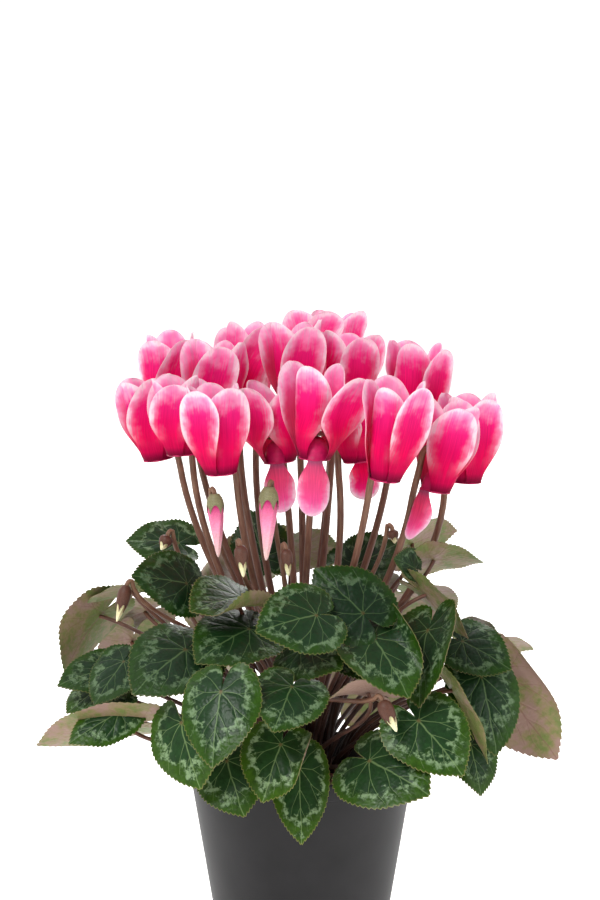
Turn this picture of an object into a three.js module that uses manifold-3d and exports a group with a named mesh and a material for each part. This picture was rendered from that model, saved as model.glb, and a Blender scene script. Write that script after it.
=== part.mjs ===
// A cyclamen in a tapered pot: upswept two-coloured blooms on bare stalks over a dome of heart-shaped leaves.
// Everything grows from one flat tuber that sits in the compost. Millimetres, +Z up, front towards -Y.
// The origin is the centre of the pot's foot.
import * as THREE from "three";
import { mergeVertices } from "three/addons/utils/BufferGeometryUtils.js";
import Module from "manifold-3d";

const wasm = await Module();
wasm.setup();

const DEGREE = Math.PI / 180;
const UP = new THREE.Vector3(0, 0, 1);

// Pot: a plain tapered shell with a slim rim band
const POT_HEIGHT = 118;
const RIM_RADIUS = 65;
const POT_TAPER = 0.17;
const POT_WALL = 2.6;
const RIM_BAND_HEIGHT = 9;
const RIM_BAND_STEP = 0.7;
const POT_SIDES = 32;

// Compost and tuber
const CLEARANCE = 0.35;
const COMPOST_TOP = 104;
const COMPOST_FLOOR = 3;
const COMPOST_LUMP = 1.1;
const COMPOST_SIDES = 22;
const TUBER_RADIUS = 31;
const TUBER_FLAT_RADIUS = 27.6;
const TUBER_TOP = 110;
const TUBER_BOTTOM = 88;
const TUBER_SIDES = 20;

// Leaves
const BLADE_THICKNESS = 0.7;
const EDGE_ANGLES = [0, 12, 30, 54, 80, 106, 134, 160, 180];
const INNER_ANGLES = [0, 75, 180];
const INNER_REACH = 0.56;
const TOOTH_DEPTH = 0.028;
const PETIOLE_RADIUS = 1.3;
const PETIOLE_SIDES = 4;
const PETIOLE_STEPS = 3;
const PETIOLE_INSET = 3;
const CROWN_RINGS = [[11, 15.1], [14, 23.6]];
const CROWN_HEIGHT = 3;

// Blooms, in each bloom's own frame: mouth at the origin, petals swept up along +Z
const MOUTH_RADIUS = 8.4;
const CORONA_HEIGHT = 12;
const PETALS = 5;
const PETAL_THICKNESS = 0.8;
const PETAL_HALF_WIDTH = 12.3;
const PETAL_WRAP_RADIUS = 10;
const PETAL_FLATTENING = 14;
const PETAL_OVERLAP = 0.38;
const PETAL_SWELL = 1.8;
const PETAL_STATIONS = [0, 0.38, 0.76, 0.975];
const PETAL_TWIST = 12;
const PETAL_TWIST_SPREAD = 8;
const HANGING_PETAL = { open: 6, length: 0.6, width: 0.7 };
const OPPOSITE_STALK = 2;
const STALK_PARTING = 15;
const STALK_RADIUS = 1.9;
const STALK_SIDES = 5;
const STALK_STEPS = 4;
const STALK_RINGS = [[1, 0], [5, 4.7], [10, 8.9]];
const HOOK_RADIUS = 4.9;
const HOOK_HEIGHT = 18;
const CALYX_TOP = 16.4;
const CALYX_RADIUS = 4.9;

// Nodding buds: shape as shares of the way to the tip and of the thickest radius
const BUD_SHAPE = [[0, 0.4], [0.3, 1], [0.7, 0.6], [1, 0.2]];
const BUD_STALK_RADIUS = 1.3;
const BUD_HOOK_ARM = 3;
const BUD_SIDES = 4;

// Half outline of a leaf, from its tip round to the notch at the stalk: angle in degrees, share of its length
const HALF_OUTLINE = [
  [0, 1], [8, 0.905], [20, 0.825], [40, 0.745], [60, 0.685], [80, 0.64],
  [100, 0.6], [120, 0.56], [140, 0.51], [155, 0.45], [168, 0.34], [180, 0.07],
];

// Near leaves: bunch, where the stalk joins, where the tip is, which way the upper side faces, width against
// the usual, then degrees: cup of each half, droop along the midrib, any curl of the left and right margin
const NEAR_LEAVES = [
  ["b", [-62, -60, 229], [-92, -74, 236], [-2, -8, 6], 0.95, -12, 20],
  ["c", [-32, -64, 222], [-60, -88, 219], [-1, -5, 8], 0.95, 15, 25, [120, 0]],
  ["e", [8, -97, 219], [-25, -113, 213], [0, -8, 6], 0.95, -8, 20],
  ["f", [33, -82, 217], [6, -68, 239], [1, -8, 5], 0.95, -8, 15],
  ["c", [-28, -74, 207], [-57, -98, 193], [-2, -7, 7], 0.95, -8, 25],
  ["b", [-62, -80, 197], [-90, -100, 176], [-4, -8, 4], 1.05, -12, 25],
  ["a", [-101, -32, 177], [-135, -44, 169], [-2, -6, 7], 0.75, -10, 25],
  ["l", [-112, 8, 200], [-134, -2, 166], [-5, 6, 5], 0.9, 15, 30],
  ["l", [-92, -8, 216], [-120, -4, 206], [-2, 4, 9], 0.8, 10, 30],
  ["a", [-108, -26, 166], [-130, -40, 152], [-4, -6, 6], 0.9, -10, 20],
  ["a", [-97, -50, 184], [-112, -66, 162], [-5, -8, 4], 0.9, -10, 20],
  ["m", [-98, -68, 160], [-126, -78, 144], [-1, -7, 7], 0.7, -35, 20],
  ["m", [-92, -62, 152], [-146, -54, 138], [0, 6, 8], 0.7, 15, 10],
  ["d", [-42, -119, 183], [-46, -136, 145], [-3, -9, 3], 0.84, -18, 25],
  ["e", [-5, -108, 183], [-15, -134, 164], [0, -8, 6], 1, -8, 20],
  ["d", [-11, -100, 150], [-21, -114, 121], [-1, -9, 3], 0.95, -5, 25, [100, 0]],
  ["m", [-64, -92, 160], [-53, -106, 126], [-5, -9, 3], 0.95, -15, 30],
  ["d", [-40, -84, 137], [-30, -98, 109], [-2, -9, 2], 1.05, -10, 25],
  ["d", [-1, -80, 132], [0, -93, 92], [0, -9, 1], 0.62, -15, 20],
  ["g", [36, -96, 140], [68, -120, 127], [0, -8, 6], 1, -10, 25],
  ["h", [62, -96, 162], [86, -112, 135], [3, -9, 3], 0.95, -10, 20],
  ["f", [38, -84, 205], [57, -110, 176], [0, -6, 8], 0.9, 10, 25, [100, 20]],
  ["g", [38, -92, 176], [10, -110, 175], [1, 5, 8], 0.75, 20, 40],
  ["h", [68, -72, 206], [63, -98, 168], [-6, -7, 3], 0.75, 25, 25],
  ["i", [80, -70, 175], [100, -84, 134], [8, 2, 5], 0.7, 15, 20],
  ["i", [98, -50, 176], [106, -66, 134], [3, -9, 3], 0.75, -15, 25],
  ["j", [108, -16, 168], [143, -30, 123], [1, 8, -1], 0.7, 8, 15, [0, -90]],
  ["i", [92, -60, 140], [97, -74, 114], [4, -9, 2], 0.85, -10, 20],
  ["j", [88, -44, 194], [115, -52, 179], [3, -7, 6], 0.95, -8, 20],
  ["k", [66, -45, 222], [90, -61, 198], [7, 4, 5], 0.65, 15, 20],
  ["k", [70, -28, 236], [101, -32, 236], [0, 6, 8], 0.9, 10, 25],
  ["k", [62, -42, 234], [50, -52, 242], [0, -8, 6], 1, 15, 20],
  ["n", [32, 34, 222], [56, 30, 236], [1, -8, 5], 1, -8, 15],
  ["o", [-22, 38, 226], [-30, 50, 252], [-1, -9, 3], 1, -8, 15],
  ["e", [0, -80, 197], [22, -102, 190], [0, -8, 6], 1, -8, 20],
  ["f", [25, -67, 199], [33, -91, 182], [0, -8, 6], 1, -8, 20],
].map(([bunch, at, tip, faces, width, cup, droop, curl = [0, 0]]) => {
  return { bunch, at, tip, faces, width, cup, droop, curl };
});

// Turned half round, these near leaves dress the far side too, bunch by bunch
const FAR_BUNCHES = [
  [6, 10], [0, 5], [16, 13], [1, 4], [15, 17], [2, 14], [3, 21], [19, 20], [23, 25], [28, 30],
];

// Blooms: mouth, how far the bloom leans and towards which side, how far it is turned about its stalk,
// how far each petal opens, petal length, the petal that hangs down instead, where there is one, and how far
// each petal is turned about its own middle line, where any is
const BLOOMS = [
  { mouth: [-80, 6, 288], lean: 9, towards: 185, spin: 20, open: [14, 8, 6, 12, 8], petal: 48,
    turns: [0, 0, -25, 0, 0] },
  { mouth: [-65, -32, 296], lean: 4, towards: 160, spin: 40, open: [10, 8, 12, 6, 10], petal: 43 },
  { mouth: [-71, 46, 305], lean: 6, towards: 190, spin: 0, open: [8, 8, 5, 8, 12], petal: 51,
    turns: [0, 0, -45, 0, 0] },
  { mouth: [-43, -62, 290], lean: 5, towards: 200, spin: -6, open: [8, 8, 11, 8, 8], petal: 50 },
  { mouth: [-46, -2, 305], lean: 2, towards: 180, spin: 10, open: [8, 10, 3, 11, 8], petal: 52 },
  { mouth: [-33, 36, 302], lean: 6, towards: 60, spin: 0, open: [10, 6, 8, 6, 10], petal: 60 },
  { mouth: [-12, -33, 292], lean: 6, towards: 170, spin: 10, open: [10, 18, 16, 12, 8], petal: 46,
    hanging: 2, turns: [0, -20, 0, 0, 0] },
  { mouth: [-1, -4, 318], lean: 4, towards: 150, spin: 20, open: [10, 8, 11, 8, 10], petal: 49 },
  { mouth: [7, -61, 298], lean: 4, towards: 330, spin: -4, open: [12, 10, 14, 20, 12], petal: 53,
    hanging: 2, turns: [0, 0, 0, 20, 0] },
  { mouth: [15, 60, 321], lean: 6, towards: 80, spin: 30, open: [14, 16, 10, 14, 20], petal: 48,
    turns: [0, 0, 0, -40, 0] },
  { mouth: [23, 16, 312], lean: 5, towards: 60, spin: 30, open: [14, 10, 12, 12, 8], petal: 47,
    turns: [0, 40, 0, 0, 0] },
  { mouth: [31, -30, 292], lean: 6, towards: 170, spin: 50, open: [12, 14, 10, 8, 12], petal: 40,
    hanging: 3 },
  { mouth: [44, -79, 289], lean: 8, towards: 350, spin: 7, open: [8, 7, 11, 8, 8], petal: 54 },
  { mouth: [62, 6, 304], lean: 4, towards: 20, spin: 12, open: [8, 11, 9, 10, 8], petal: 50 },
  { mouth: [72, -52, 279], lean: 9, towards: 0, spin: 24, open: [8, 8, 9, 14, 10], petal: 50,
    hanging: 0, turns: [0, 0, 40, 0, 0] },
  { mouth: [91, -14, 278], lean: 3, towards: 20, spin: 10, open: [8, 11, 6, 8, 8], petal: 50,
    turns: [0, 0, 40, 0, 0] },
];

// Nodding buds: the bloom whose stalk each one joins low down, top of the hook, tip, thickest radius
const BUDS = [
  { joins: 1, hook: [-71, -30, 253], tip: [-77, -34, 243], radius: 3 },
  { joins: 2, hook: [-49, -52, 280], tip: [-45, -56, 243], radius: 4 },
  { joins: 7, hook: [-16, -60, 285], tip: [-19, -66, 243], radius: 4.5 },
  { joins: 9, hook: [-34, -72, 255], tip: [-31, -78, 236], radius: 3 },
  { joins: 9, hook: [-10, -60, 251], tip: [-7, -65, 234], radius: 2.6 },
  { joins: 1, hook: [-93, -40, 227], tip: [-101, -44, 205], radius: 3 },
  { joins: 4, hook: [40, -107, 178], tip: [50, -113, 160], radius: 3.4 },
  { joins: 14, hook: [47, -40, 258], tip: [51, -42, 248], radius: 2.4 },
];

const material = {
  pot: new THREE.MeshStandardMaterial({ color: 0x3b3a3c, roughness: 0.5, metalness: 0 }),
  compost: new THREE.MeshStandardMaterial({ color: 0x2a1d15, roughness: 1, metalness: 0 }),
  tuber: new THREE.MeshStandardMaterial({ color: 0x5a4030, roughness: 0.9, metalness: 0 }),
  leaf: new THREE.MeshStandardMaterial({ color: 0x2c4a26, roughness: 0.45, metalness: 0 }),
  petal: new THREE.MeshStandardMaterial({ color: 0xe5156b, roughness: 0.55, metalness: 0 }),
  stalk: new THREE.MeshStandardMaterial({ color: 0x6e4636, roughness: 0.6, metalness: 0 }),
};

// A repeatable small difference between pieces, from -1 to 1
function vary(piece, trait) {
  const wave = Math.sin(piece * 12.9898 + trait * 78.233) * 43758.5453;
  return 2 * (wave - Math.floor(wave)) - 1;
}

function solidOf(geometry) {
  const bare = geometry.index ? geometry.toNonIndexed() : geometry.clone();
  bare.deleteAttribute("normal");
  bare.deleteAttribute("uv");
  const merged = mergeVertices(bare, 1e-4);
  return new wasm.Manifold(
    new wasm.Mesh({
      numProp: 3,
      vertProperties: new Float32Array(merged.attributes.position.array),
      triVerts: new Uint32Array(merged.index.array),
    }),
  );
}

function solidOfFaces(points, faces) {
  const geometry = new THREE.BufferGeometry().setFromPoints(points);
  geometry.setIndex(faces.flat());
  return solidOf(geometry);
}

function geometryOf(solid) {
  const mesh = solid.getMesh();
  const geometry = new THREE.BufferGeometry();
  geometry.setAttribute("position", new THREE.BufferAttribute(new Float32Array(mesh.vertProperties), 3));
  geometry.setIndex(new THREE.BufferAttribute(new Uint32Array(mesh.triVerts), 1));
  geometry.computeVertexNormals();
  return geometry;
}

function join(solids) {
  return solids.reduce((whole, next) => whole.add(next));
}

const plant = new THREE.Group();
plant.name = "potted_cyclamen";

function addNode(name, geometry, finish) {
  const mesh = new THREE.Mesh(geometry, finish);
  mesh.name = name;
  plant.add(mesh);
}

// A closed turned shape from a profile of [radius, height] pairs that starts and ends on the axis
function turned(profile, sides) {
  const points = profile.map(([radius, height]) => new THREE.Vector2(radius, height));
  const lathe = new THREE.LatheGeometry(points, sides);
  lathe.rotateX(Math.PI / 2);
  return lathe;
}

// A thin sheet of triangles made solid: each face is set off to both sides, and the rim is walled
function thicken({ points, faces, rim }, thickness) {
  const normals = points.map(() => new THREE.Vector3());
  for (const corners of faces) {
    const [a, b, c] = corners.map((corner) => points[corner]);
    const normal = b.clone().sub(a).cross(c.clone().sub(a));
    corners.forEach((corner) => normals[corner].add(normal));
  }
  const half = thickness / 2;
  const upper = points.map((point, i) => point.clone().addScaledVector(normals[i].normalize(), half));
  const lower = points.map((point, i) => point.clone().addScaledVector(normals[i], -half));
  const below = points.length;
  const closed = faces.flatMap(([a, b, c]) => [[a, b, c], [below + a, below + c, below + b]]);
  rim.forEach((from, i) => {
    const to = rim[(i + 1) % rim.length];
    closed.push([from, below + from, below + to], [from, below + to, to]);
  });
  return solidOfFaces([...upper, ...lower], closed);
}

// A round stalk through a list of points, with a radius at each and, where given, the way its last ring faces
function stalk(points, radii, sides, arrival) {
  const rings = points.map((point, i) => {
    const [before, after] = [points[Math.max(i - 1, 0)], points[Math.min(i + 1, points.length - 1)]];
    const onward = after.clone().sub(before).normalize();
    const last = i === points.length - 1 && arrival;
    const ahead = i === 0 ? UP.clone() : last ? arrival.clone() : onward;
    const side = new THREE.Vector3(1, 0, 0).addScaledVector(ahead, -ahead.x).normalize();
    const other = ahead.clone().cross(side);
    return Array.from({ length: sides }, (_, k) => {
      const turn = (2 * Math.PI * k) / sides;
      return point.clone()
        .addScaledVector(side, radii[i] * Math.cos(turn))
        .addScaledVector(other, radii[i] * Math.sin(turn));
    });
  });
  const faces = [];
  for (let i = 0; i + 1 < rings.length; i++)
    for (let k = 0; k < sides; k++) {
      const next = (k + 1) % sides;
      const [a, b] = [i * sides + k, i * sides + next];
      faces.push([a, b, b + sides], [a, b + sides, a + sides]);
    }
  const last = (rings.length - 1) * sides;
  for (let k = 1; k + 1 < sides; k++) faces.push([0, k + 1, k], [last, last + k, last + k + 1]);
  return solidOfFaces(rings.flat(), faces);
}

function pot() {
  const radiusAt = (height) => RIM_RADIUS - (POT_HEIGHT - height) * POT_TAPER;
  const bandBottom = POT_HEIGHT - RIM_BAND_HEIGHT;
  const footRadius = radiusAt(0);
  const profile = [
    [0, 0],
    [footRadius - 1, 0],
    [footRadius, 1],
    [radiusAt(bandBottom) - RIM_BAND_STEP, bandBottom - RIM_BAND_STEP],
    [radiusAt(bandBottom), bandBottom],
    [RIM_RADIUS, POT_HEIGHT - 0.8],
    [RIM_RADIUS - 0.8, POT_HEIGHT],
    [RIM_RADIUS - POT_WALL, POT_HEIGHT],
    [radiusAt(COMPOST_FLOOR) - POT_WALL, COMPOST_FLOOR],
    [0, COMPOST_FLOOR],
  ];
  addNode("pot", turned(profile, POT_SIDES), material.pot);
}

// The tuber's outline, grown by a margin where the compost makes room for it
function tuberProfile(margin, top) {
  const middle = (TUBER_TOP + TUBER_BOTTOM) / 2;
  return [
    [0, TUBER_BOTTOM - margin],
    [TUBER_RADIUS * 0.62, TUBER_BOTTOM + 2 - margin],
    [TUBER_RADIUS + margin, middle - 3],
    [TUBER_RADIUS + margin, middle + 3],
    [TUBER_FLAT_RADIUS + 1 + margin, top - 1.5],
    [TUBER_FLAT_RADIUS + margin, top],
    [0, top],
  ];
}

function tuber() {
  addNode("tuber", turned(tuberProfile(0, TUBER_TOP), TUBER_SIDES), material.tuber);
}

function compost() {
  const inside = RIM_RADIUS - POT_WALL - CLEARANCE - 0.2;
  const innerRadius = (height) => inside - (POT_HEIGHT - height) * POT_TAPER;
  const floor = COMPOST_FLOOR + CLEARANCE;
  const body = turned(
    [
      [0, floor],
      [innerRadius(floor), floor],
      [innerRadius(COMPOST_TOP), COMPOST_TOP],
      [47, COMPOST_TOP + 1],
      [34, COMPOST_TOP + 1.5],
      [0, COMPOST_TOP + 2],
    ],
    COMPOST_SIDES,
  );
  const position = body.attributes.position;
  for (let i = 0; i < position.count; i++) {
    const [x, y, z] = [position.getX(i), position.getY(i), position.getZ(i)];
    const lump = COMPOST_LUMP * Math.sin(x * 0.31) * Math.cos(y * 0.27);
    if (z > COMPOST_TOP + 0.5) position.setZ(i, z + lump);
  }
  const seat = solidOf(turned(tuberProfile(CLEARANCE, TUBER_TOP + CLEARANCE), TUBER_SIDES));
  addNode("compost", geometryOf(solidOf(body).subtract(seat)), material.compost);
}

// How far the leaf's edge lies from the stalk's joint, as a share of its length, at an angle from the tip
function outlineReach(angle) {
  const degrees = Math.abs(angle) / DEGREE;
  const next = Math.max(1, HALF_OUTLINE.findIndex(([at]) => at >= degrees - 1e-9));
  const [[fromAngle, fromReach], [toAngle, toReach]] = [HALF_OUTLINE[next - 1], HALF_OUTLINE[next]];
  return THREE.MathUtils.mapLinear(degrees, fromAngle, toAngle, fromReach, toReach);
}

// A strip bent steadily, and further past a start: how far along, how high and at what slope it ends
function bent(distance, bend, start, furtherBend) {
  const steps = 8;
  let [along, height] = [0, 0];
  for (let k = 0; k < steps; k++) {
    const middle = ((k + 0.5) * distance) / steps;
    const slope = bend * middle + furtherBend * Math.max(0, middle - start);
    along += (Math.cos(slope) * distance) / steps;
    height += (Math.sin(slope) * distance) / steps;
  }
  return { along, height, slope: bend * distance + furtherBend * Math.max(0, distance - start) };
}

// A leaf's own axes: right, along (from the stalk's joint towards the tip) and up
function leafFrame(leaf) {
  const at = new THREE.Vector3(...leaf.at);
  const chord = new THREE.Vector3(...leaf.tip).sub(at);
  const halfDroop = (leaf.droop * DEGREE) / 2;
  const length = (chord.length() * halfDroop) / Math.sin(halfDroop);
  chord.normalize();
  const right = chord.clone().cross(new THREE.Vector3(...leaf.faces)).normalize();
  const along = chord.clone().applyAxisAngle(right, halfDroop);
  return { at, length, right, along, up: right.clone().cross(along) };
}

// A point of the blade, at an angle from the tip and a share of the way out to the edge
function bladePoint(leaf, frame, angle, share, reach) {
  const distance = frame.length * reach * share;
  const [x, y] = [distance * leaf.width * Math.sin(angle), distance * Math.cos(angle)];
  const halfWidth = 0.6 * frame.length * leaf.width;
  const curl = leaf.curl[x < 0 ? 0 : 1] * DEGREE;
  const cup = (leaf.cup * DEGREE) / halfWidth;
  const across = bent(Math.abs(x), cup, 0.4 * halfWidth, curl / (0.6 * halfWidth));
  const along = bent(Math.abs(y), (-leaf.droop * DEGREE) / frame.length, 0, 0);
  const wave = leaf.wave * share ** 3 * Math.sin(3 * angle + leaf.wavePhase);
  const lift = across.height + wave;
  return frame.at.clone()
    .addScaledVector(frame.right, Math.sign(x) * across.along)
    .addScaledVector(frame.along, Math.sign(y) * (along.along - lift * Math.sin(along.slope)))
    .addScaledVector(frame.up, along.height + lift * Math.cos(along.slope));
}

// Angles from the tip to the notch, and back to the tip on the other side, in radians
function bothSides(degrees) {
  const mirrored = degrees.slice(1, -1).reverse().map((angle) => -angle);
  return [...degrees, ...mirrored].map((angle) => angle * DEGREE);
}

function blade(leaf) {
  const frame = leafFrame(leaf);
  const angles = bothSides(EDGE_ANGLES);
  const innerAngles = bothSides(INNER_ANGLES);
  const edge = angles.map((angle, i) => {
    const tooth = i % 2 ? 1 - TOOTH_DEPTH : 1 + TOOTH_DEPTH;
    return bladePoint(leaf, frame, angle, 1, outlineReach(angle) * tooth);
  });
  const innerPoint = (angle) => bladePoint(leaf, frame, angle, INNER_REACH, outlineReach(angle));
  const inner = innerAngles.map(innerPoint);
  const centre = edge.length + INNER_ANGLES.length - 1;
  inner[INNER_ANGLES.length - 1] = frame.at.clone();
  const around = (list, n) => (n < list.length ? (list[n] + 2 * Math.PI) % (2 * Math.PI) : 2 * Math.PI);
  const faces = [];
  let [i, k] = [0, 0];
  while (i < edge.length || k < inner.length) {
    const [a, b] = [i % edge.length, edge.length + (k % inner.length)];
    const edgeFirst = i < edge.length && around(angles, i + 1) <= around(innerAngles, k + 1);
    const onEdge = edgeFirst || k === inner.length;
    faces.push([a, b, onEdge ? (i + 1) % edge.length : edge.length + ((k + 1) % inner.length)]);
    if (onEdge) i++;
    else k++;
  }
  for (let n = 0; n < inner.length; n++) {
    const [a, b] = [edge.length + n, edge.length + ((n + 1) % inner.length)];
    if (a !== centre && b !== centre) faces.push([centre, b, a]);
  }
  const rim = edge.map((_, n) => edge.length - 1 - n);
  return thicken({ points: [...edge, ...inner], faces, rim }, BLADE_THICKNESS);
}

// The leaf's stalk: up from the tuber, over, and into the underside of the blade at its notch
function petiole(leaf, foot) {
  const frame = leafFrame(leaf);
  const { along, up } = frame;
  const midrib = bladePoint(leaf, frame, 0, INNER_REACH, 1).sub(frame.at).normalize();
  const at = frame.at.clone().addScaledVector(midrib, PETIOLE_INSET);
  const approach = along.clone().multiplyScalar(0.5).addScaledVector(up, 0.85).normalize();
  const climb = Math.max(14, 0.45 * (at.z - TUBER_TOP));
  const reach = Math.min(24, 0.35 * at.distanceTo(foot));
  const path = new THREE.CubicBezierCurve3(
    foot,
    foot.clone().addScaledVector(UP, climb),
    at.clone().addScaledVector(approach, -reach),
    at,
  );
  const points = path.getPoints(PETIOLE_STEPS);
  return stalk(points, points.map((_, i) => PETIOLE_RADIUS * (1.15 - 0.1 * i)), PETIOLE_SIDES, up);
}

// The small woody crown on the tuber that a bunch of leaf stalks shares
function crown(foot, radius) {
  const body = turned([[0, 0], [radius, 0], [radius - 0.6, CROWN_HEIGHT], [0, CROWN_HEIGHT]], 5);
  body.translate(foot.x, foot.y, foot.z);
  return solidOf(body);
}

function bearingOf([x, y]) {
  return Math.atan2(y, x);
}

// Evenly spaced bearings for a ring of things in order, turned as near as possible to where each one leans
function spread(bearings) {
  const gap = (2 * Math.PI) / bearings.length;
  const sum = (wave) => bearings.reduce((total, bearing, k) => total + wave(bearing - k * gap), 0);
  const start = Math.atan2(sum(Math.sin), sum(Math.cos));
  return bearings.map((_, k) => start + k * gap);
}

// The near and the far bunches, each with its mean place
function leafBunches() {
  const bunches = new Map();
  NEAR_LEAVES.forEach((leaf) => bunches.set(leaf.bunch, [...(bunches.get(leaf.bunch) ?? []), leaf]));
  const turn = ([x, y, z]) => [-x, -y, z];
  FAR_BUNCHES.forEach((members, k) => {
    const leaves = members.map((index) => {
      const leaf = NEAR_LEAVES[index];
      return { ...leaf, at: turn(leaf.at), tip: turn(leaf.tip), faces: turn(leaf.faces) };
    });
    bunches.set("far_" + (k + 1), leaves);
  });
  return [...bunches].map(([name, leaves]) => {
    const mean = (axis) => leaves.reduce((sum, leaf) => sum + leaf.at[axis], 0) / leaves.length;
    return { name, leaves, middle: [mean(0), mean(1), mean(2)] };
  });
}

// One bunch: its crown on the tuber, then each leaf's blade on its own stalk
function leafBunch(bunch, x, y, bearing) {
  const apart = [0, 0, 1.7, 2, 2.2][bunch.leaves.length];
  const middle = new THREE.Vector3(x, y, TUBER_TOP + CLEARANCE);
  const foot = (radius, around, height) =>
    middle.clone().add(new THREE.Vector3(radius * Math.cos(around), radius * Math.sin(around), height));
  const solids = bunch.leaves.flatMap((leaf, index) => {
    const around = bearing + (2 * Math.PI * (index + 0.5)) / bunch.leaves.length;
    return [blade(leaf), petiole(leaf, foot(apart, around, 1))];
  });
  return join([crown(foot(0, 0, 0), apart + 1.8), ...solids]);
}

// Bunches with high leaves stand on the inner ring of the tuber, those with low leaves on the outer one
function leaves() {
  const bunches = leafBunches();
  bunches.flatMap((bunch) => bunch.leaves).forEach((leaf, index) => {
    leaf.wave = 0.9 + 0.5 * vary(index, 1);
    leaf.wavePhase = Math.PI * vary(index, 2);
  });
  bunches.sort((one, other) => other.middle[2] - one.middle[2]);
  for (const [count, radius] of CROWN_RINGS) {
    const ring = bunches.splice(0, count);
    ring.sort((one, other) => bearingOf(one.middle) - bearingOf(other.middle));
    const slots = spread(ring.map((bunch) => bearingOf(bunch.middle)));
    ring.forEach((bunch, k) => {
      const solid = leafBunch(bunch, radius * Math.cos(slots[k]), radius * Math.sin(slots[k]), slots[k]);
      addNode("leaves_" + bunch.name, geometryOf(solid), material.leaf);
    });
  }
}

// Where a bloom sits: its mouth, the way it points, and the side on which its stalk comes in
function bloomFrame(bloom) {
  const mouth = new THREE.Vector3(...bloom.mouth);
  const [lean, towards] = [bloom.lean * DEGREE, bloom.towards * DEGREE];
  const hinge = new THREE.Vector3(-Math.sin(towards), Math.cos(towards), 0);
  const up = UP.clone().applyAxisAngle(hinge, lean);
  const inward = new THREE.Vector3(-mouth.x, -mouth.y, 0).normalize().applyAxisAngle(UP, bloom.spin * DEGREE);
  const front = inward.addScaledVector(up, -inward.dot(up)).normalize();
  return { mouth, up, front, side: up.clone().cross(front) };
}

// A bloom's point from its distance from the axis, bearing from the stalk and height above the mouth
function bloomPoint(frame, radius, bearing, height) {
  return frame.mouth.clone()
    .addScaledVector(frame.front, radius * Math.cos(bearing))
    .addScaledVector(frame.side, radius * Math.sin(bearing))
    .addScaledVector(frame.up, height);
}

// Half the petal's width along its length: narrow at the mouth, widest past the middle, round at the tip
function petalHalfWidth(along, hangs) {
  const [neck, wideFrom] = hangs ? [0.42, 0.45] : [0.34, 0.6];
  const widening = neck + (1 - neck) * THREE.MathUtils.smoothstep(along, 0, wideFrom);
  const rounding = along > 0.6 ? Math.sqrt(Math.max(0, 1 - ((along - 0.6) / 0.4) ** 2)) : 1;
  return PETAL_HALF_WIDTH * widening * rounding;
}

// Whether a petal's edge lies over its neighbour's, 1, or under it, -1: the wider open petal lies outside
function outside(bloom, petal, across) {
  const left = across < 0 ? (petal + PETALS - 1) % PETALS : petal;
  const right = (left + 1) % PETALS;
  const seam = bloom.open[right] > bloom.open[left] + 2 ? -1 : 1;
  return across < 0 ? -seam : seam;
}

// Where the petal opposite the stalk hangs, the other four close up over the gap: each one's shift in degrees
function closing(bloom, petal) {
  const steps = petal - OPPOSITE_STALK;
  return bloom.hanging === OPPOSITE_STALK ? Math.sign(steps) * (18 * Math.abs(steps) - 45) : 0;
}

// A point of one petal: along from the mouth to the tip, across from -1 to 1
function petalPoint(bloom, frame, petal, along, across) {
  const hangs = petal === bloom.hanging;
  const traits = bloom.index * PETALS + petal;
  const length = bloom.petal * (1 + 0.04 * vary(traits, 3)) * (hangs ? HANGING_PETAL.length : 1);
  const open = (hangs ? HANGING_PETAL.open : bloom.open[petal]) * DEGREE;
  const swell = PETAL_SWELL * Math.sin(Math.PI * Math.min(1, along * 1.4));
  const radius = MOUTH_RADIUS - 0.3 + length * along * Math.sin(open) + (hangs ? 0 : swell);
  const height = (hangs ? -1 : 1) * length * along * Math.cos(open);
  const wrapRadius = PETAL_WRAP_RADIUS + PETAL_FLATTENING * along;
  const wrap = (across * petalHalfWidth(along, hangs) * (hangs ? HANGING_PETAL.width : 1)) / wrapRadius;
  const turned = hangs ? 0 : (bloom.turns?.[petal] ?? 0) * THREE.MathUtils.smoothstep(along, 0.15, 0.7);
  const [cos, sin] = [Math.cos(turned * DEGREE), Math.sin(turned * DEGREE)];
  const [flat, deep] = [wrapRadius * Math.sin(wrap), wrapRadius * (1 - Math.cos(wrap))];
  const sideways = flat * cos + deep * sin;
  const besideStalk = (petal === 0 && across < 0) || (petal === PETALS - 1 && across > 0);
  const lapped = besideStalk ? THREE.MathUtils.smoothstep(along, 0.4, 0.75) : 1;
  const lap = (PETAL_OVERLAP * lapped * sideways ** 2) / PETAL_HALF_WIDTH;
  const overlap = hangs ? 0 : outside(bloom, petal, across) * lap;
  const out = radius - deep * cos + flat * sin + overlap;
  const parting = STALK_PARTING * (1 - petal / 2) * (1 - THREE.MathUtils.smoothstep(along, 0.45, 0.9));
  const twisting = PETAL_TWIST + PETAL_TWIST_SPREAD * vary(traits, 5);
  const twist = hangs ? 0 : twisting * THREE.MathUtils.smoothstep(along, 0.2, 1);
  const closed = closing(bloom, petal) * THREE.MathUtils.smoothstep(along, 0.05, 0.5);
  const bearing = (360 * (petal + 0.5)) / PETALS + parting + twist + closed;
  return bloomPoint(frame, Math.hypot(out, sideways), bearing * DEGREE + Math.atan2(sideways, out), height);
}

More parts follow.
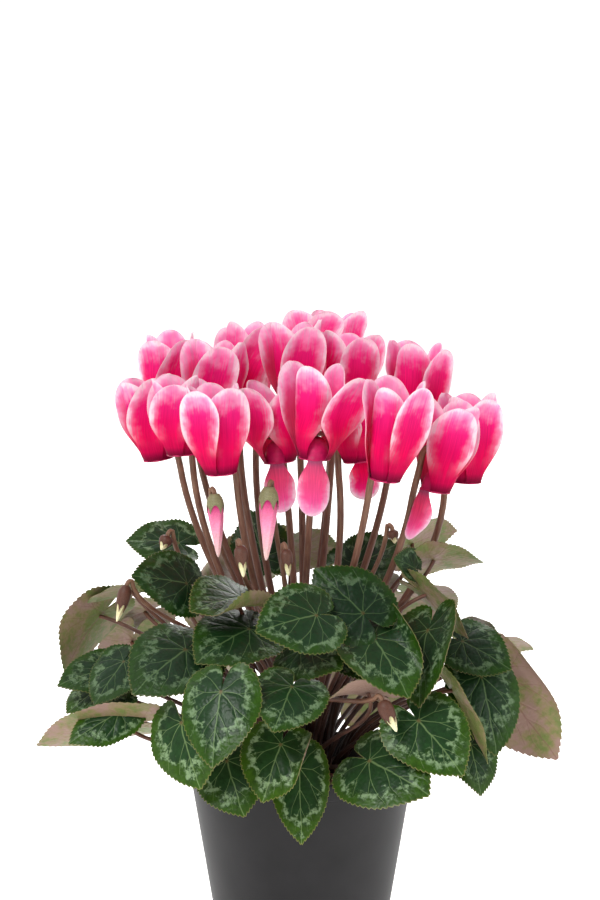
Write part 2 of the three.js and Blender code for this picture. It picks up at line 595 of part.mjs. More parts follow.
// Both faces of one petal, row by row from the mouth: the face that runs on into the mouth's edge and the one
// that runs on into the bell's wall. On a petal that hangs down they are the other way round.
function petalSheets(bloom, frame, petal) {
  const across = [-1, 0, 1];
  const point = (along, side) => petalPoint(bloom, frame, petal, along, side);
  const nudge = 0.02;
  const sheet = (side) =>
    PETAL_STATIONS.map((along, row) =>
      across.map((column) => {
        const middle = point(along, column);
        const onward = point(along + nudge, column).sub(point(along - nudge, column));
        const sideways = point(along, column + nudge).sub(point(along, column - nudge));
        const normal = sideways.cross(onward).normalize();
        const lift = row > 0 ? 0 : side > 0 ? -0.4 : 0.4;
        return middle.addScaledVector(normal, (side * PETAL_THICKNESS) / 2).addScaledVector(frame.up, lift);
      }),
    );
  return { edge: sheet(1), wall: sheet(-1) };
}

// A bloom in one skin: five petals round a short closed bell that opens downward at the mouth
function bloomSolid(bloom, frame) {
  const points = [];
  const add = (point) => points.push(point) - 1;
  const faces = [];
  const quad = (a, b, c, d) => faces.push([a, b, c], [a, c, d]);
  const petals = Array.from({ length: PETALS }, (_, k) => {
    const { edge, wall } = petalSheets(bloom, frame, k);
    const bearing = ((360 * (k + 0.5)) / PETALS) * DEGREE;
    return {
      edge: edge.map((row) => row.map(add)),
      wall: wall.map((row) => row.map(add)),
      mouth: add(bloomPoint(frame, MOUTH_RADIUS - 2, bearing, 0)),
    };
  });
  const top = add(bloomPoint(frame, 0, 0, CORONA_HEIGHT));
  const hollow = add(bloomPoint(frame, 0, 0, CORONA_HEIGHT - 2.6));
  petals.forEach(({ edge, wall, mouth }, k) => {
    const next = petals[(k + 1) % PETALS];
    for (let row = 0; row + 1 < edge.length; row++) {
      for (const column of [0, 1]) {
        quad(edge[row][column], edge[row][column + 1], edge[row + 1][column + 1], edge[row + 1][column]);
        quad(wall[row][column], wall[row + 1][column], wall[row + 1][column + 1], wall[row][column + 1]);
      }
      quad(edge[row][0], edge[row + 1][0], wall[row + 1][0], wall[row][0]);
      quad(edge[row + 1][2], edge[row][2], wall[row][2], wall[row + 1][2]);
    }
    const tip = edge.length - 1;
    for (const column of [0, 1]) {
      quad(edge[tip][column], edge[tip][column + 1], wall[tip][column + 1], wall[tip][column]);
      faces.push([wall[0][column], wall[0][column + 1], top], [edge[0][column + 1], edge[0][column], mouth]);
    }
    quad(edge[0][2], next.edge[0][0], next.wall[0][0], wall[0][2]);
    faces.push([wall[0][2], next.wall[0][0], top], [next.edge[0][0], edge[0][2], mouth]);
    faces.push([next.edge[0][0], mouth, next.mouth], [next.mouth, mouth, hollow]);
  });
  return solidOfFaces(points, faces);
}

// Where each stalk leaves the tuber: rings of feet, innermost blooms first, each in order round the plant
function stalkFeet() {
  const fromMiddle = ({ mouth: [x, y] }) => Math.hypot(x, y);
  const outward = [...BLOOMS].sort((one, other) => fromMiddle(one) - fromMiddle(other));
  for (const [count, radius] of STALK_RINGS) {
    const ring = outward.splice(0, count);
    ring.sort((one, other) => bearingOf(one.mouth) - bearingOf(other.mouth));
    const slots = spread(ring.map((bloom) => bearingOf(bloom.mouth)));
    ring.forEach((bloom, k) => {
      bloom.foot = new THREE.Vector3(
        radius * Math.cos(slots[k]),
        radius * Math.sin(slots[k]),
        TUBER_TOP + CLEARANCE,
      );
    });
  }
}

// The long climb of a bloom's stalk, from the tuber to just under the mouth
function bloomClimb(bloom, frame) {
  const pass = bloomPoint(frame, MOUTH_RADIUS + STALK_RADIUS + 1.1, 0, -6);
  const rise = pass.distanceTo(bloom.foot);
  return new THREE.CubicBezierCurve3(
    bloom.foot,
    bloom.foot.clone().addScaledVector(UP, 0.3 * rise),
    pass.clone().addScaledVector(frame.up, -0.35 * rise),
    pass,
  ).getPoints(STALK_STEPS);
}

// The bloom's stalk: its climb, past the mouth, hooked over and down, where it widens into the calyx
function bloomStalk(climb, frame) {
  const hook = [60, 120].map((degrees) => {
    const turn = degrees * DEGREE;
    const [out, up] = [1 + Math.cos(turn), Math.sin(turn)];
    return bloomPoint(frame, HOOK_RADIUS * out, 0, HOOK_HEIGHT + HOOK_RADIUS * up);
  });
  const calyxBottom = CORONA_HEIGHT + CLEARANCE + 0.1;
  const points = [
    ...climb,
    bloomPoint(frame, MOUTH_RADIUS + STALK_RADIUS + 0.6, 0, 2),
    bloomPoint(frame, 2 * HOOK_RADIUS, 0, HOOK_HEIGHT),
    ...hook,
    bloomPoint(frame, 0, 0, CALYX_TOP),
    bloomPoint(frame, 0, 0, calyxBottom + 1),
    bloomPoint(frame, 0, 0, calyxBottom),
  ];
  const slim = points.map((_, i) => STALK_RADIUS * (1.1 - 0.03 * i));
  const radii = [...slim.slice(0, -2), CALYX_RADIUS, CALYX_RADIUS - 0.8];
  return stalk(points, radii, STALK_SIDES, frame.up.clone().negate());
}

// A bud on a thin stalk of its own that leaves the bloom's stalk low down, climbs, hooks over and nods
function bud({ hook, tip, radius }, start) {
  const top = new THREE.Vector3(...hook);
  const end = new THREE.Vector3(...tip);
  const climb = top.z - start.z;
  const onward = end.clone().sub(top).setZ(0).normalize();
  const path = new THREE.CubicBezierCurve3(
    start,
    start.clone().addScaledVector(UP, 0.4 * climb),
    top.clone().addScaledVector(onward, -BUD_HOOK_ARM).addScaledVector(UP, -0.35 * climb),
    top,
  ).getPoints(3);
  const base = top.clone().addScaledVector(onward, BUD_HOOK_ARM).addScaledVector(UP, -BUD_HOOK_ARM);
  const body = BUD_SHAPE.map(([share]) => base.clone().lerp(end, share));
  const radii = [...path.map(() => BUD_STALK_RADIUS), ...BUD_SHAPE.map(([, thick]) => thick * radius)];
  return stalk([...path, ...body], radii, BUD_SIDES);
}

function blooms() {
  stalkFeet();
  BLOOMS.forEach((bloom, index) => {
    const number = String(index + 1).padStart(2, "0");
    bloom.index = index;
    const frame = bloomFrame(bloom);
    const climb = bloomClimb(bloom, frame);
    const buds = BUDS.filter((each) => each.joins === index + 1).map((each) => bud(each, climb[1]));
    addNode("bloom_" + number, geometryOf(bloomSolid(bloom, frame)), material.petal);
    addNode("stalk_" + number, geometryOf(join([bloomStalk(climb, frame), ...buds])), material.stalk);
  });
}

pot();
tuber();
compost();
leaves();
blooms();

export default plant;
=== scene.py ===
# %% [markdown]
# # A potted cyclamen, dressed for its portrait
#
# The solids of this plant already exist as plain, faceted shapes: a pot, compost, one flat tuber, bunches
# of leaves, blooms and their stalks. This lesson loads them as a fixed frame and builds the fine surface
# of each one around it, at the same place and size. Every leaf and petal is worked out again from the
# same few numbers that shaped the plain solids, only with many more points.

# %% Load the fixed frame
import math

import bpy
import numpy as np
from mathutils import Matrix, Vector


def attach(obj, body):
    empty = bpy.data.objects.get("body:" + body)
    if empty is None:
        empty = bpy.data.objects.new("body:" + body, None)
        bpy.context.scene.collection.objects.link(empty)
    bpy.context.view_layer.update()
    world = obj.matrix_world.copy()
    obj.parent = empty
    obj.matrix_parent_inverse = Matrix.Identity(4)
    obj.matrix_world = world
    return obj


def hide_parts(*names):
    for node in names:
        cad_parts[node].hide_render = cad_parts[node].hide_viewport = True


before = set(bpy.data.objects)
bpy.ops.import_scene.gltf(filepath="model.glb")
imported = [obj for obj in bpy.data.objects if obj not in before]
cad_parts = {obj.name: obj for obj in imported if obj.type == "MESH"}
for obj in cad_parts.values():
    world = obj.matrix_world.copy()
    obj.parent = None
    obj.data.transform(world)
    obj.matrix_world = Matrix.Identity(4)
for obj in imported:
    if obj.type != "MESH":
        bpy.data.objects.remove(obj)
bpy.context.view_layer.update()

print("solids:", len(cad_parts))

# %% [markdown]
# ## Sizes, small differences and colour
#
# The plant's numbers are millimetres, and Blender's are metres, so one constant turns the first into the
# second at the moment a mesh is made. No two leaves are alike. A repeatable number between -1 and 1, made
# from the piece's own number, gives each one its difference without any random draw. A seeded random
# generator could do it too, but one more leaf would then change all that follow.

# %% Units and repeatable differences
MM = 0.001
DEGREE = math.pi / 180
UP = np.array([0.0, 0.0, 1.0])


def vary(piece, trait):
    wave = math.sin(piece * 12.9898 + trait * 78.233) * 43758.5453
    return 2 * (wave - math.floor(wave)) - 1


def smooth_rise(value, low, high):
    share = np.clip((value - low) / (high - low), 0, 1)
    return share * share * (3 - 2 * share)


def unit(vector):
    return vector / np.linalg.norm(vector)


print("differences of piece 3:", [round(vary(3, trait), 3) for trait in range(3)])

# %% [markdown]
# Colours are noted the way a painter's chart gives them, as sRGB hex. The renderer counts in linear
# light, so one function turns the first into the second. Linear values could be typed in instead, but
# nobody can read a colour from them.

# %% Colour and one helper for nodes
def linear(hex_colour):
    channels = [int(hex_colour[at:at + 2], 16) / 255 for at in (1, 3, 5)]
    curve = [c / 12.92 if c <= 0.04045 else ((c + 0.055) / 1.055) ** 2.4 for c in channels]
    return (*curve, 1.0)


# Inputs are a list in the node's own order, or go by name. A node given as an input is linked by the output
# that it has in use. Stops are a colour ramp's places and colours.
def add(tree, kind, inputs=(), stops=(), **settings):
    made = tree.nodes.new("ShaderNode" + kind)
    for name, value in settings.items():
        setattr(made, name, value)
    for name, value in inputs.items() if isinstance(inputs, dict) else enumerate(inputs):
        if isinstance(value, bpy.types.Node):
            value = next(socket for socket in value.outputs if socket.enabled)
        if isinstance(value, bpy.types.NodeSocket):
            tree.links.new(value, made.inputs[name])
        else:
            made.inputs[name].default_value = value
    for position, _ in stops[1:-1]:
        made.color_ramp.elements.new(position)
    for number, (position, colour) in enumerate(stops):
        made.color_ramp.elements[number].position = position
        made.color_ramp.elements[number].color = linear(colour)
    return made


def new_material(name, *marks):
    """A material, its empty tree, and one socket for each mark that its pattern reads."""
    material = bpy.data.materials.new(name)
    material.use_nodes = True
    tree = material.node_tree
    tree.nodes.clear()
    return material, tree, *(add(tree, "Attribute", attribute_name=mark).outputs["Vector"] for mark in marks)


# Settings that many nodes share: a range with soft ends, and a mix of two colours
SOFT = {"interpolation_type": "SMOOTHSTEP"}
COLOURS = {"data_type": "RGBA"}
print("anthracite in linear light:", [round(value, 3) for value in linear("#19181a")])

# %% [markdown]
# ## From points to pieces
#
# A piece is put together from one or more shapes. Each shape brings its points in millimetres, its faces,
# which finish it takes, and its marks: numbers stored at every point, such as how far along a petal it
# lies. The materials read these marks, so a vein or a pale margin sits exactly where the plant has it and
# stays there from every side. A UV map could carry two such numbers. Marks carry three each and need no
# unwrapping.

# %% Build one piece from shapes
PIECES = {}


def build(name, shapes, finishes, nodes, sharp=50):
    points, faces, finish_of_face, offset = [], [], [], 0
    for shape in shapes:
        points.append(shape["points"])
        faces.extend(tuple(corner + offset for corner in face) for face in shape["faces"])
        finish_of_face.extend([shape.get("finish", 0)] * len(shape["faces"]))
        offset += len(shape["points"])
    mesh = bpy.data.meshes.new(name)
    mesh.from_pydata(np.concatenate(points) * MM, [], faces)
    for finish in finishes:
        mesh.materials.append(finish)
    mesh.polygons.foreach_set("material_index", finish_of_face)
    for mark in sorted({mark for shape in shapes for mark in shape["marks"]}):
        rows = [shape["marks"].get(mark, np.zeros((len(shape["points"]), 3))) for shape in shapes]
        stored = mesh.attributes.new(mark, "FLOAT_VECTOR", "POINT")
        stored.data.foreach_set("vector", np.concatenate(rows).astype(np.float32).ravel())
    mesh.shade_smooth()
    mesh.set_sharp_from_angle(angle=math.radians(sharp))
    piece = bpy.data.objects.new(name, mesh)
    bpy.context.scene.collection.objects.link(piece)
    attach(piece, "root")
    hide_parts(*nodes)
    PIECES[name] = len(mesh.polygons)


print("finished pieces so far:", len(PIECES))

# %% [markdown]
# Three kinds of shape cover the whole plant. A thin sheet, for blades and petals, is a grid of points
# that gets a thickness. A tube, for every stalk, is a ring carried along a line without twisting. A
# turned solid, for the pot and what fills it, is a profile of radius and height, carried round the axis
# and closed by two flat caps. Solidify, Skin and Screw modifiers could make them too. Arrays of points
# are chosen because each point gets its marks as it is made.

# %% Turned solids
def grid_faces(rows, columns, closed=False, flip=False):
    steps = columns if closed else columns - 1
    faces = []
    for row in range(rows - 1):
        for column in range(steps):
            onward = (column + 1) % columns
            corners = [row * columns + column, row * columns + onward]
            corners += [corners[1] + columns, corners[0] + columns]
            faces.append(tuple(reversed(corners)) if flip else tuple(corners))
    return faces


def turns_of(sides):
    return np.arange(sides) * 2 * math.pi / sides


def rings_of(profile, sides):
    radius, height = np.array(profile, float).T[:, :, None]
    turns = turns_of(sides)
    return np.stack([radius * np.cos(turns), radius * np.sin(turns), height + 0 * turns], 2)


def capped(rings):
    count, sides = rings.shape[:2]
    points = rings.reshape(-1, 3)
    faces = grid_faces(count, sides, closed=True)
    faces += [tuple(reversed(range(sides))), tuple(range(len(points) - sides, len(points)))]
    return {"points": points, "faces": faces, "marks": {"turned_place": points}}


print("a ring of 4 points:", rings_of([[1, 0]], 4).round(2).tolist())

# %% Tubes
def distance_along(points):
    return np.concatenate([[0], np.cumsum(np.linalg.norm(np.diff(points, axis=0), axis=1))])


def tube(points, radii, sides, number, finish=0, lobes=0, lobe_depth=None, spiral=0):
    points = np.array(points, float)
    ahead = np.gradient(points, axis=0)
    ahead /= np.linalg.norm(ahead, axis=1, keepdims=True)
    ahead[0] = UP if abs(ahead[0][2]) > 0.6 else ahead[0]
    side = unit(np.cross(ahead[0], [0.0, 1.0, 0.0]))
    travelled = distance_along(points)
    turns = turns_of(sides)
    rings, marks = [], []
    for index, (point, way, radius) in enumerate(zip(points, ahead, radii)):
        side = unit(side - way * side.dot(way))
        other = np.cross(way, side)
        depth = lobe_depth[index] if lobe_depth is not None else 0
        reach = radius * (1 + depth * np.cos(lobes * turns - spiral * travelled[index]))[:, None]
        rings.append(point + reach * (np.cos(turns)[:, None] * side + np.sin(turns)[:, None] * other))
        share = travelled[index] / travelled[-1]
        marks.append(np.stack([turns * radius, np.full(sides, travelled[index]), np.full(sides, share)], 1))
    count = len(points)
    faces = grid_faces(count, sides, closed=True)
    low, high = count * sides, count * sides + 1
    for column in range(sides):
        onward = (column + 1) % sides
        faces.append((onward, column, low))
        faces.append(((count - 1) * sides + column, (count - 1) * sides + onward, high))
    place = np.concatenate([*marks, [[0, 0, 0]], [[0, travelled[-1], 1]]])
    seed = np.tile([number, vary(number, 11), 0.0], (len(place), 1))
    return {
        "points": np.concatenate([*rings, points[[0, -1]]]),
        "faces": faces,
        "finish": finish,
        "marks": {"stalk_place": place, "piece_seed": seed},
    }


def bezier(a, b, c, d, steps):
    t = np.linspace(0, 1, steps + 1)[:, None]
    return (1 - t) ** 3 * a + 3 * (1 - t) ** 2 * t * b + 3 * (1 - t) * t * t * c + t ** 3 * d


short_tube = tube([[0, 0, 0], [0, 0, 1], [0, 0, 2]], [1, 1, 1], 6, 0)
print("a tube of 3 points has", len(short_tube["faces"]), "faces")

# %% [markdown]
# ## Camera, floor and light
#
# The picture is a catalogue portrait: a long lens, 1.6 m away and eight degrees above level, so that the
# pot's rim is only just seen from above. The plant fills the frame, and the pot's foot is left below it.
# A soft key light stands at the upper left, a weaker one fills in from the right, and one behind the
# plant shines through the petals. The white studio round them is brighter behind the plant than in front.
# A picture of a real studio could light the scene as well, but a plain one needs no file and is easy to
# change.

# %% Camera
CAMERA_RISE = 8 * DEGREE
CAMERA_DISTANCE = 1600
AIM = np.array([-0.8, 0.0, 293.63])
FRAME_HEIGHT_PIXELS = 900
MM_PER_PIXEL = 0.558
SENSOR = 36.0

camera_data = bpy.data.cameras.new("portrait_camera")
camera_data.sensor_width = SENSOR
camera_data.lens = SENSOR * CAMERA_DISTANCE / (MM_PER_PIXEL * FRAME_HEIGHT_PIXELS)
camera_data.clip_start = 0.05
camera_data.clip_end = 100
camera = bpy.data.objects.new("portrait_camera", camera_data)
camera_place = AIM + CAMERA_DISTANCE * np.array([0, -math.cos(CAMERA_RISE), math.sin(CAMERA_RISE)])
camera.location = camera_place * MM
camera.rotation_euler = (math.pi / 2 - CAMERA_RISE, 0, 0)
bpy.context.scene.collection.objects.link(camera)
bpy.context.scene.camera = camera
print("lens", round(camera_data.lens, 1), "mm at", [round(value, 3) for value in camera.location])

# %% Floor
FLOOR_RADIUS, FLOOR_SIDES = 30000, 64
floor_material, tree = new_material("white_studio_paper")
paper = add(tree, "BsdfPrincipled", {
    "Base Color": linear("#f4f3f1"), "Roughness": 0.9,
    "Emission Color": (1, 1, 1, 1), "Emission Strength": 0.65,
})
add(tree, "OutputMaterial", [paper])
floor_mesh = bpy.data.meshes.new("studio_floor")
floor_mesh.from_pydata(rings_of([[FLOOR_RADIUS, 0]], FLOOR_SIDES)[0] * MM, [], [tuple(range(FLOOR_SIDES))])
floor_mesh.materials.append(floor_material)
floor = bpy.data.objects.new("studio_floor", floor_mesh)
bpy.context.scene.collection.objects.link(floor)
print("floor across:", 2 * FLOOR_RADIUS * MM, "m")

# %% Light
# Name, place and width in metres, and power in watts
LIGHTS = [
    ("key_softbox", (-0.9, -1.4, 1.6), 0.9, 42.0),
    ("fill_softbox", (1.5, -1.1, 0.8), 1.2, 12.0),
    ("back_softbox", (0.2, 1.5, 1.3), 1.4, 30.0),
]
LIGHTS_AIM = Vector((0, 0, 0.24))
STUDIO_IN_FRONT, STUDIO_BEHIND = 0.25, 1.4
EXPOSURE = -0.35

for name, place, width, watts in LIGHTS:
    light_data = bpy.data.lights.new(name, "AREA")
    light_data.shape = "DISK"
    light_data.size = width
    light_data.energy = watts
    light = bpy.data.objects.new(name, light_data)
    light.location = place
    light.rotation_euler = (LIGHTS_AIM - light.location).to_track_quat("-Z", "Y").to_euler()
    bpy.context.scene.collection.objects.link(light)
world = bpy.data.worlds.new("white_studio")
world.use_nodes = True
tree = world.node_tree
tree.nodes.clear()
direction = add(tree, "TexCoord").outputs["Generated"]
backward = add(tree, "SeparateXYZ", [direction]).outputs["Y"]
depth = add(tree, "MapRange", [backward, -0.5, 0.2, STUDIO_IN_FRONT, STUDIO_BEHIND])
sky = add(tree, "Background", {"Color": (1, 1, 1, 1), "Strength": depth})
add(tree, "OutputWorld", [sky])
bpy.context.scene.world = world
bpy.context.scene.view_settings.view_transform = "Standard"
bpy.context.scene.view_settings.exposure = EXPOSURE
print("lights:", [name for name, *_ in LIGHTS])

# %% [markdown]
# ## The pot
#
# The real pot is an injection moulded polypropylene shell, tapered so that it leaves its mould and
# stacks. A slim band stiffens the rim. The profile repeats the plain solid's, from the foot up and back
# down inside, with the edges of the foot, the band and the rim rounded off by a few tenths of a
# millimetre. A Bevel modifier could round them, but with points of their own in the profile each edge has
# its own rounding.

# %% Turn the pot
POT_HEIGHT, RIM_RADIUS, POT_TAPER, POT_WALL = 118, 65, 0.17, 2.6
BAND_HEIGHT, BAND_STEP, POT_FLOOR, POT_SIDES = 9, 0.7, 3, 128


def pot_radius(height):
    return RIM_RADIUS - (POT_HEIGHT - height) * POT_TAPER


foot_radius = pot_radius(0)
band_bottom = POT_HEIGHT - BAND_HEIGHT
band_radius = pot_radius(band_bottom)
foot = [[1, 0], [foot_radius - 1, 0], [foot_radius - 0.35, 0.25], [foot_radius, 1]]
wall_ends = [1, band_bottom - BAND_STEP], [foot_radius, band_radius - BAND_STEP]
wall = [[np.interp(height, *wall_ends), height] for height in np.linspace(2.2, band_bottom - 1.1, 12)]
step = [
    [band_radius - BAND_STEP, band_bottom - 0.75], [band_radius - 0.25, band_bottom - 0.5],
    [band_radius, band_bottom - 0.1], [band_radius + 0.05, band_bottom + 0.4],
]
lip = [
    [RIM_RADIUS, POT_HEIGHT - 0.9], [RIM_RADIUS - 0.25, POT_HEIGHT - 0.3], [RIM_RADIUS - 0.8, POT_HEIGHT],
    [RIM_RADIUS - POT_WALL + 0.6, POT_HEIGHT], [RIM_RADIUS - POT_WALL, POT_HEIGHT - 0.6],
]
inner = [[pot_radius(POT_FLOOR) - POT_WALL, POT_FLOOR], [1, POT_FLOOR]]
pot_profile = [*foot, *wall, *step, *lip, *inner]
print("pot profile of", len(pot_profile), "points")

# %% [markdown]
# Coloured right through with carbon black and a little red and violet, the plastic is a warm anthracite.
# Its mould was finely blasted, so the shine is broad and soft, and a faint cloudiness shows where it
# cooled. Noise that is measured in the pot's own millimetres draws both, so no image has to be wrapped
# round it.

# %% Anthracite plastic
# Clouds of about 22 mm. The blasted grain is drawn at 0.45 mm, because the real 0.1 mm would not show.
pot_plastic, tree, place = new_material("moulded_polypropylene_anthracite", "turned_place")
clouds = add(tree, "TexNoise", {"Vector": place, "Scale": 0.045, "Detail": 4.0})
grain = add(tree, "TexNoise", {"Vector": place, "Scale": 2.2, "Detail": 2.0})
shade = add(tree, "ValToRGB", [clouds], stops=[(0.3, "#19181a"), (0.7, "#201f21")])
blast = add(tree, "Bump", {"Height": grain, "Strength": 0.25, "Distance": 0.00006})
plastic = add(tree, "BsdfPrincipled", {
    "Base Color": shade, "Roughness": 0.5, "IOR": 1.49, "Specular IOR Level": 0.28, "Normal": blast,
})
add(tree, "OutputMaterial", [plastic])
build("pot_shell", [capped(rings_of(pot_profile, POT_SIDES))], [pot_plastic], ["pot"], sharp=35)
print("pot faces:", PIECES["pot_shell"])

# %% [markdown]
# ## Compost and tuber
#
# Peat compost fills the pot to a little below its rim. It is a heap of crumbs and fibres between one and
# five millimetres across. The grid of its surface carries the larger lumps, and the finish carries the
# fine ones. The tuber is a flat corky disc, pressed into the compost so that its top stays dry. Thousands
# of loose crumbs could be scattered instead. That costs much more, for a surface that the leaves almost
# hide.

# %% Compost bed
TUBER_RADIUS, TUBER_FLAT_RADIUS, TUBER_TOP, TUBER_BOTTOM = 31, 27.6, 110, 88
COMPOST_TOP, CLEARANCE = 104, 0.35
BED_SIDES, BED_RINGS = 144, 34


def compost_height(x, y, radius):
    level = np.interp(radius, [0, 34, 47, 60], [2, 1.5, 1, 0])
    lumps = 1.1 * np.sin(x * 0.31) * np.cos(y * 0.27) * smooth_rise(60 - radius, 0, 12)
    crumbs = 0.35 * np.sin(x * 1.1 + 2 * np.sin(y * 0.6)) * np.sin(y * 1.3 + 1.5 * np.sin(x * 0.7))
    return COMPOST_TOP + level + lumps + crumbs


def bed_radius(height):
    return RIM_RADIUS - POT_WALL - CLEARANCE - 0.3 - (POT_HEIGHT - height) * POT_TAPER


bed_side = [[bed_radius(height), height] for height in (3.6, 60, 100)]
bed_seat = [[TUBER_RADIUS + 0.6, 96], [TUBER_RADIUS * 0.62, TUBER_BOTTOM + 1.5], [1, TUBER_BOTTOM - 0.6]]
bed_radii = np.linspace(bed_radius(COMPOST_TOP), TUBER_RADIUS + 0.8, BED_RINGS)
bed_top = rings_of([[radius, 0] for radius in bed_radii], BED_SIDES)
bed_top[..., 2] = compost_height(bed_top[..., 0], bed_top[..., 1], bed_radii[:, None])
bed = np.concatenate([rings_of(bed_side, BED_SIDES), bed_top, rings_of(bed_seat, BED_SIDES)])
print("compost between", bed_top[..., 2].min().round(1), "and", bed_top[..., 2].max().round(1), "mm")

# %% Peat and cork
# Crumbs of about 2 mm with fibres of 1 mm between them
peat, tree, place = new_material("peat_compost_crumbs", "turned_place")
crumbs = add(tree, "TexVoronoi", {"Vector": place, "Scale": 0.5})
fibres = add(tree, "TexNoise", {"Vector": place, "Scale": 0.9, "Detail": 6.0, "Distortion": 2.0})
shade = add(tree, "ValToRGB", [fibres], stops=[(0.35, "#1a110b"), (0.72, "#4a3526")])
rise = add(tree, "Math", [crumbs, fibres], operation="SUBTRACT")
crumble = add(tree, "Bump", {"Height": rise, "Strength": 0.9, "Distance": 0.0012})
soil = add(tree, "BsdfPrincipled", {"Base Color": shade, "Roughness": 0.95, "Normal": crumble})
add(tree, "OutputMaterial", [soil])
build("compost_bed", [capped(bed)], [peat], ["compost"], sharp=60)

# Cork plates of about 4 mm with cracks between them, and scurf of 1.5 mm
cork, tree, place = new_material("corky_tuber_skin", "turned_place")
plates = add(tree, "TexVoronoi", {"Vector": place, "Scale": 0.28}, feature="DISTANCE_TO_EDGE")
scurf = add(tree, "TexNoise", {"Vector": place, "Scale": 0.7, "Detail": 5.0})
shade = add(tree, "ValToRGB", [scurf], stops=[(0.3, "#3c2a20"), (0.7, "#7a5a44")])
cracks = add(tree, "Bump", {"Height": plates, "Strength": 0.8, "Distance": 0.001})
skin = add(tree, "BsdfPrincipled", {"Base Color": shade, "Roughness": 0.9, "Normal": cracks})
add(tree, "OutputMaterial", [skin])
tuber_profile = [
    [1, TUBER_BOTTOM], [TUBER_RADIUS * 0.62, TUBER_BOTTOM + 1.5], [TUBER_RADIUS - 3, 91.5],
    [TUBER_RADIUS, 96], [TUBER_RADIUS, 102], [TUBER_RADIUS - 0.9, 106], [TUBER_FLAT_RADIUS + 1, 108.7],
    [TUBER_FLAT_RADIUS, 109.8], [TUBER_FLAT_RADIUS - 1.5, TUBER_TOP], [18, TUBER_TOP], [8, TUBER_TOP],
    [1, TUBER_TOP],
]
build("tuber_skin", [capped(rings_of(tuber_profile, 72))], [cork], ["tuber"])
print("made", list(PIECES))

# %% [markdown]
# ## Leaves
#
# A cyclamen leaf is heart shaped. Its stalk joins it at the notch, the blade is a little cupped to each
# side of the midrib and droops towards its tip, and the margin is cut into small round teeth. The table
# gives each leaf of the side in the photograph: its bunch, where the stalk joins and where the tip is,
# which way the upper side faces, its width, then in degrees its cup, its droop and any roll of the left
# and the right margin. The leaves could be shaped by hand, one by one. With a table and one formula, a
# leaf is moved or turned by its row alone.

# %% Leaf table
NEAR_LEAVES = [
    ["b", [-62, -60, 229], [-92, -74, 236], [-2, -8, 6], 0.95, -12, 20],
    ["c", [-32, -64, 222], [-60, -88, 219], [-1, -5, 8], 0.95, 15, 25, [120, 0]],
    ["e", [8, -97, 219], [-25, -113, 213], [0, -8, 6], 0.95, -8, 20],
    ["f", [33, -82, 217], [6, -68, 239], [1, -8, 5], 0.95, -8, 15],
    ["c", [-28, -74, 207], [-57, -98, 193], [-2, -7, 7], 0.95, -8, 25],
    ["b", [-62, -80, 197], [-90, -100, 176], [-4, -8, 4], 1.05, -12, 25],
    ["a", [-101, -32, 177], [-135, -44, 169], [-2, -6, 7], 0.75, -10, 25],
    ["l", [-112, 8, 200], [-134, -2, 166], [-5, 6, 5], 0.9, 15, 30],
    ["l", [-92, -8, 216], [-120, -4, 206], [-2, 4, 9], 0.8, 10, 30],
    ["a", [-108, -26, 166], [-130, -40, 152], [-4, -6, 6], 0.9, -10, 20],
    ["a", [-97, -50, 184], [-112, -66, 162], [-5, -8, 4], 0.9, -10, 20],
    ["m", [-98, -68, 160], [-126, -78, 144], [-1, -7, 7], 0.7, -35, 20],
    ["m", [-92, -62, 152], [-146, -54, 138], [0, 6, 8], 0.7, 15, 10],
    ["d", [-42, -119, 183], [-46, -136, 145], [-3, -9, 3], 0.84, -18, 25],
    ["e", [-5, -108, 183], [-15, -134, 164], [0, -8, 6], 1, -8, 20],
    ["d", [-11, -100, 150], [-21, -114, 121], [-1, -9, 3], 0.95, -5, 25, [100, 0]],
    ["m", [-64, -92, 160], [-53, -106, 126], [-5, -9, 3], 0.95, -15, 30],
    ["d", [-40, -84, 137], [-30, -98, 109], [-2, -9, 2], 1.05, -10, 25],
    ["d", [-1, -80, 132], [0, -93, 92], [0, -9, 1], 0.62, -15, 20],
    ["g", [36, -96, 140], [68, -120, 127], [0, -8, 6], 1, -10, 25],
    ["h", [62, -96, 162], [86, -112, 135], [3, -9, 3], 0.95, -10, 20],
    ["f", [38, -84, 205], [57, -110, 176], [0, -6, 8], 0.9, 10, 25, [100, 20]],
    ["g", [38, -92, 176], [10, -110, 175], [1, 5, 8], 0.75, 20, 40],
    ["h", [68, -72, 206], [63, -98, 168], [-6, -7, 3], 0.75, 25, 25],
    ["i", [80, -70, 175], [100, -84, 134], [8, 2, 5], 0.7, 15, 20],
    ["i", [98, -50, 176], [106, -66, 134], [3, -9, 3], 0.75, -15, 25],
    ["j", [108, -16, 168], [143, -30, 123], [1, 8, -1], 0.7, 8, 15, [0, -90]],
    ["i", [92, -60, 140], [97, -74, 114], [4, -9, 2], 0.85, -10, 20],
    ["j", [88, -44, 194], [115, -52, 179], [3, -7, 6], 0.95, -8, 20],
    ["k", [66, -45, 222], [90, -61, 198], [7, 4, 5], 0.65, 15, 20],
    ["k", [70, -28, 236], [101, -32, 236], [0, 6, 8], 0.9, 10, 25],
    ["k", [62, -42, 234], [50, -52, 242], [0, -8, 6], 1, 15, 20],
    ["n", [32, 34, 222], [56, 30, 236], [1, -8, 5], 1, -8, 15],
    ["o", [-22, 38, 226], [-30, 50, 252], [-1, -9, 3], 1, -8, 15],
    ["e", [0, -80, 197], [22, -102, 190], [0, -8, 6], 1, -8, 20],
    ["f", [25, -67, 199], [33, -91, 182], [0, -8, 6], 1, -8, 20],
]
# Each far bunch repeats these rows of the near table, counted from 0, turned half round the axis
FAR_BUNCHES = [
    [6, 10], [0, 5], [16, 13], [1, 4], [15, 17], [2, 14], [3, 21], [19, 20], [23, 25], [28, 30],
]
print(len(NEAR_LEAVES), "near leaves,", sum(len(members) for members in FAR_BUNCHES), "far leaves")

